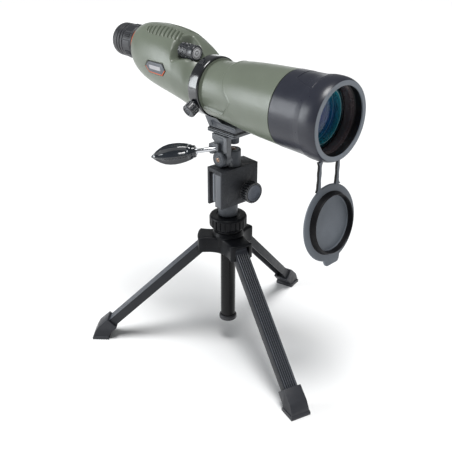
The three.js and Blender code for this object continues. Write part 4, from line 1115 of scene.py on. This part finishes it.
def make_column():
    piece("post_look", "post", turned([(0, 184), (9.3, 184), (9.3, 176.2), (11.2, 176.2, 0.4),
        (11.4, 177.2, 0.4), (11.4, 190.5, 0.3), (0, 190.7)], "z", 96, 0.3, 3), TRIPOD, CAST)
    piece("column_tube", "centre_column", turned([(0, 183.6), (9, 183.6), (9, 37.5), (7.4, 37.5),
        (7.4, 178), (0, 178)], "z", 96, 0.2), TRIPOD, COLUMN_BLACK)
    piece("column_end", "column_cap", turned([(0, 30.9), (9.6, 30.9, 0.8), (10.8, 31.9, 0.8),
        (10.8, 35.9, 0.8), (9.8, 37.2, 0.6), (7.1, 37.2), (7.1, 48), (0, 48)], "z", 96, 0.3, 3), TRIPOD,
        RUBBER)
    wall = dense([(21.2, 162.4), (22.1, 163.6), (22.2, 172.8)], 0.5)
    nut = turned([(15.4, 158.6), (17.6, 158.6, 0.5), (19.4, 160.6, 0.6), (20.6, 161.6, 0.4)] + sharp(wall) +
        [(22.0, 173.8, 0.4), (21.2, 175.3, 0.8), (20.0, 175.8, 0.6), (14.2, 175.8, 0.3), (13.6, 175.1, 0.3),
        (9.6, 175.1, 0.3), (9.4, 170), (15.4, 170)], "z", 384, 0.3, 3, relief=nut_relief)
    piece("nut_ring", "lock_nut", nut, TRIPOD, TRIPOD_BLACK, angle=46)


def turned_point(angle, along, across):
    """Point at a distance along and across an arm that stands at the angle."""
    cos, sin = math.cos(angle), math.sin(angle)
    return np.array((along * cos - across * sin, along * sin + across * cos))


def hub_outline(inset):
    """Three arms with rounded noses and hollow sides between them."""
    out = []
    angles = [math.radians(a) for a in LEG_ANGLES.values()]
    base, half = HUB["arm"] - HUB["nose"], HUB["half"] - inset
    for a in angles:
        out += [tuple(turned_point(a, base + (HUB["nose"] - inset) * math.cos(w), half * math.sin(w)))
            for w in np.linspace(-math.pi / 2, math.pi / 2, 17)]
        start, end = turned_point(a, base, half), turned_point(a + 2 * math.pi / 3, base, -half)
        mid = turned_point(a + math.pi / 3, HUB["waist"] - inset, 0)
        out += [tuple((1 - t) ** 2 * start + 2 * t * (1 - t) * mid + t * t * end)
            for t in np.linspace(0, 1, 27)[1:-1]]
    return out


def make_hub():
    low, top = HUB["bottom"], HUB["top"]
    levels = [(low, 0.6), (low + 0.6, 0.0), (top - 2.4, 0.0), (top - 1.4, 0.22), (top - 0.7, 0.8),
        (top - 0.25, 1.6), (top - 0.05, 2.6), (top, 3.6)]
    plate = grid_solid([[(x, y, z) for x, y in hub_outline(inset)] for z, inset in levels])
    boss = turned([(9.3, 140), (18.6, 140), (18.6, 151.5, 0.5), (16.6, 155.6, 0.8), (15, 155.6, 0.3),
        (15, 169, 0.4), (9.3, 169)], "z", 96, 0.3, 3)
    cuts = []
    for angle in LEG_ANGLES.values():
        cuts.append(spun(block(15.6, 60, -HUB["slot"], HUB["slot"], 120, 147), angle, "Z"))
        cuts.append(spun(shifted(rod(2, -12.9, 12.9, "y", 24), 27, 0, 139), angle, "Z"))
    piece("spider", "hub", plate, TRIPOD, TRIPOD_BLACK, adds=(boss,),
        cuts=(rod(9.3, 100, 200, "z", 64), *cuts), angle=36)


# ---- legs ----
LEG = {"pivot_r": 27.0, "pivot_z": 139.0, "ankle_r": 158.0, "ankle_z": 12.0, "half": 8.5, "depth": 5.5}
LEG_LENGTH = math.hypot(LEG["ankle_r"] - LEG["pivot_r"], LEG["pivot_z"] - LEG["ankle_z"]) + 2.6
LEG_DROP = math.atan2(LEG["pivot_z"] - LEG["ankle_z"], LEG["ankle_r"] - LEG["pivot_r"])


def leg_place(angle):
    return TRIPOD @ Matrix.Rotation(math.radians(angle), 4, "Z")


def leg_line():
    return Matrix.Translation((LEG["pivot_r"], 0, LEG["pivot_z"])) @ Matrix.Rotation(LEG_DROP, 4, "Y")


def ridged_top(half, depth, count=6, groove=1.5):
    """Outer face of a leg: `count` round ridges with narrow grooves between them."""
    pts = []
    width = (2 * half - 1.6) / count
    for k in range(count * 10 + 1):
        t = -half + 0.8 + width * k / 10
        phase = (k % 10) / 10
        pts.append((t, depth - groove * (1 - math.sin(math.pi * phase) ** 0.8)))
    return pts


def make_leg(name, angle):
    half, depth = LEG["half"], LEG["depth"]
    top = ridged_top(half, depth)
    section = [(half, -depth), (half, depth - 1.0), *reversed(top), (-half, depth - 1.0), (-half, -depth)]
    beam = prism(section, 6.0, LEG_LENGTH, "x")
    nose = rod(depth, -half, half, "y", 48, 0.6)
    neck = block(0, 6.5, -half + 0.3, half - 0.3, -depth + 0.1, depth - 0.6)
    hollow = block(9, LEG_LENGTH - 14, -half + 1.8, half - 1.8, -depth - 2, depth - 2.6)
    place = leg_place(angle)
    line = leg_line()
    hole = rod(1.9, -20, 20, "y", 24)
    obj = piece(f"leg_{name}_beam", f"leg_{name}", placed(beam, line), place, LEG_GREY,
        adds=(placed(neck, line), placed(nose, line)), cuts=(placed(hollow, line), placed(hole, line)),
        bevel=0.25, angle=34)
    # painted shade: faces turned sideways or down get the darker copy of the leg plastic, the top keeps the
    # lighter grey
    repaint(obj, LEG_PAINTED_SHADE, place @ line, lambda p, normal: abs(normal.y) > 0.8 or normal.z < -0.3)
    # painted shade: the bottoms of the grooves between the ridges are painted dark
    repaint(obj, LEG_GROOVE_PAINTED_SHADE, place @ line,
        lambda p, normal: depth - 1.7 < p.z < depth - 0.7 and abs(p.y) < half - 1.2 and p.x > 8)
    pin = turned([(0, -12.6), (1.1, -12.6, 0.2), (1.7, -12.1, 0.2), (1.7, 12.1, 0.2), (1.1, 12.6, 0.2),
        (0, 12.6)], "y", 24, 0.2)
    piece(f"pin_{name}", f"leg_pin_{name}", placed(pin, line), place, TRIPOD_BLACK)
    make_shoe(name, place, line)


def tapered(outline, half_bottom, half_top, low, high):
    """Prism across a leg whose width changes with height."""
    widths = [half_bottom + (half_top - half_bottom) * ((z - low) / (high - low)) for _, z in outline]
    return between(*([(r, side * w, z) for (r, z), w in zip(outline, widths)] for side in (-1, 1)))


def make_shoe(name, place, line):
    sock = soft([(152, 0.4), (171.6, 0.4), (170.6, 7.5, 2.0), (165.7, 16.4, 1.4), (152.4, 28.8, 0.6),
        (140.9, 17.4, 0.6), (151.6, 6.4, 2.0)], 0.8, 3)
    sole = soft([(151.4, 0), (172.4, 0), (172.6, 2.6), (171.0, 4.8, 1.2), (152.6, 4.8), (151.2, 3.0)], 0.6,
        3)
    gap = 0.3
    socket = placed(block(LEG_LENGTH - 34, LEG_LENGTH + gap, -LEG["half"] - gap, LEG["half"] + gap,
        -LEG["depth"] - gap, LEG["depth"] + gap), line)
    treads = [block(153 + 3.0 * k, 154.2 + 3.0 * k, -14, 14, -1, 0.5) for k in range(6)]
    piece(f"boot_{name}", f"shoe_{name}", tapered(sock, 11.4, 10.6, 0, 28.8), place, SHOE_RUBBER,
        adds=(prism(sole, -12.3, 12.3, "y"),), cuts=(socket, *treads), bevel=0.6, angle=38)


# ---- carried-over CAD nodes ----
def finish_cad_nodes():
    looks = {"baffle_tube": INNER_BLACK, "prism_cage": ALUMINIUM, "focus_carriage": ALUMINIUM,
        "zoom_cell": ALUMINIUM, "focus_lens": None, "prism_front": None, "prism_rear": None,
        "field_lens": None}
    plain = lens_painted_reflection("inner_glass", [(0.0, (60, 90, 100)), (0.7, (70, 110, 110)), (0.97, (40, 60, 64))],
        0.03, (0, 0, 0), clear=0.5)
    for node, look in looks.items():
        obj = frame["nodes"][node]
        obj.data.materials.clear()
        obj.data.materials.append(look or plain)


# ---- stage ----
FLOOR_HALF = 120.0                      # metres, far enough to reach the horizon


def make_floor():
    mesh = bpy.data.meshes.new("floor")
    corners = ((-1, -1), (1, -1), (1, 1), (-1, 1))
    mesh.from_pydata([(x * FLOOR_HALF, y * FLOOR_HALF, 0.0) for x, y in corners], [], [(0, 1, 2, 3)])
    floor = bpy.data.objects.new("floor", mesh)
    bpy.context.scene.collection.objects.link(floor)
    n = Nodes("floor_paper")
    n.link(n.ramp(n.noise(3, 2), [(0.3, (0.92, 0.92, 0.92)), (0.7, (0.94, 0.94, 0.94))]),
        n.shader.inputs["Base Color"])
    n.shader.inputs["Roughness"].default_value = 0.9
    n.shader.inputs["Specular IOR Level"].default_value = 0.1
    mesh.materials.append(n.material)


def area_light(name, place, aim, size, power, color=(1, 1, 1)):
    data = bpy.data.lights.new(name, "AREA")
    data.shape, data.energy, data.color = "RECTANGLE", power, color
    data.size, data.size_y = size
    light = bpy.data.objects.new(name, data)
    light.location = place
    light.rotation_euler = (Vector(aim) - Vector(place)).to_track_quat("-Z", "Y").to_euler()
    bpy.context.scene.collection.objects.link(light)


def sun_light(name, toward, strength, angle):
    data = bpy.data.lights.new(name, "SUN")
    data.energy, data.angle = strength, math.radians(angle)
    light = bpy.data.objects.new(name, data)
    light.rotation_euler = Vector(toward).to_track_quat("Z", "Y").to_euler()
    bpy.context.scene.collection.objects.link(light)


def make_lights():
    world = bpy.data.worlds.new("world")
    bpy.context.scene.world = world
    world.use_nodes = True
    tree = world.node_tree
    fill = tree.nodes["Background"]
    fill.inputs["Color"].default_value = (0.97, 0.99, 1.0, 1)
    fill.inputs["Strength"].default_value = 0.23
    paper = tree.nodes.new("ShaderNodeBackground")
    paper.inputs["Color"].default_value = (1, 1, 1, 1)
    paper.inputs["Strength"].default_value = 1.05
    path, mix = tree.nodes.new("ShaderNodeLightPath"), tree.nodes.new("ShaderNodeMixShader")
    tree.links.new(path.outputs["Is Camera Ray"], mix.inputs[0])
    tree.links.new(fill.outputs[0], mix.inputs[1])
    tree.links.new(paper.outputs[0], mix.inputs[2])
    tree.links.new(mix.outputs[0], tree.nodes["World Output"].inputs["Surface"])
    sun_light("overhead", (-0.09, -0.12, 1.0), 2.72, 27)
    area_light("side", (-1.52, 1.28, 0.72), (0, 0, 0.34), (0.75, 1.15), 21, (0.93, 0.97, 1.0))
    area_light("back", (1.35, 1.95, 0.62), (0, 0, 0.3), (1.7, 0.6), 3.5, (0.97, 0.99, 1.0))
    view = bpy.context.scene.view_settings
    view.view_transform, view.look, view.exposure, view.gamma = "Standard", "None", 0.0, 1.0


# ---- build ----
make_body()
make_badge()
make_hood()
make_objective()
make_cap()
make_focus_knob()
make_eyepiece()
make_collar()
make_platform()
make_bracket()
make_pan()
make_handle()
make_clamp()
make_column()
make_hub()
for leg_name, leg_angle in LEG_ANGLES.items():
    make_leg(leg_name, leg_angle)
finish_cad_nodes()
make_floor()
make_lights()
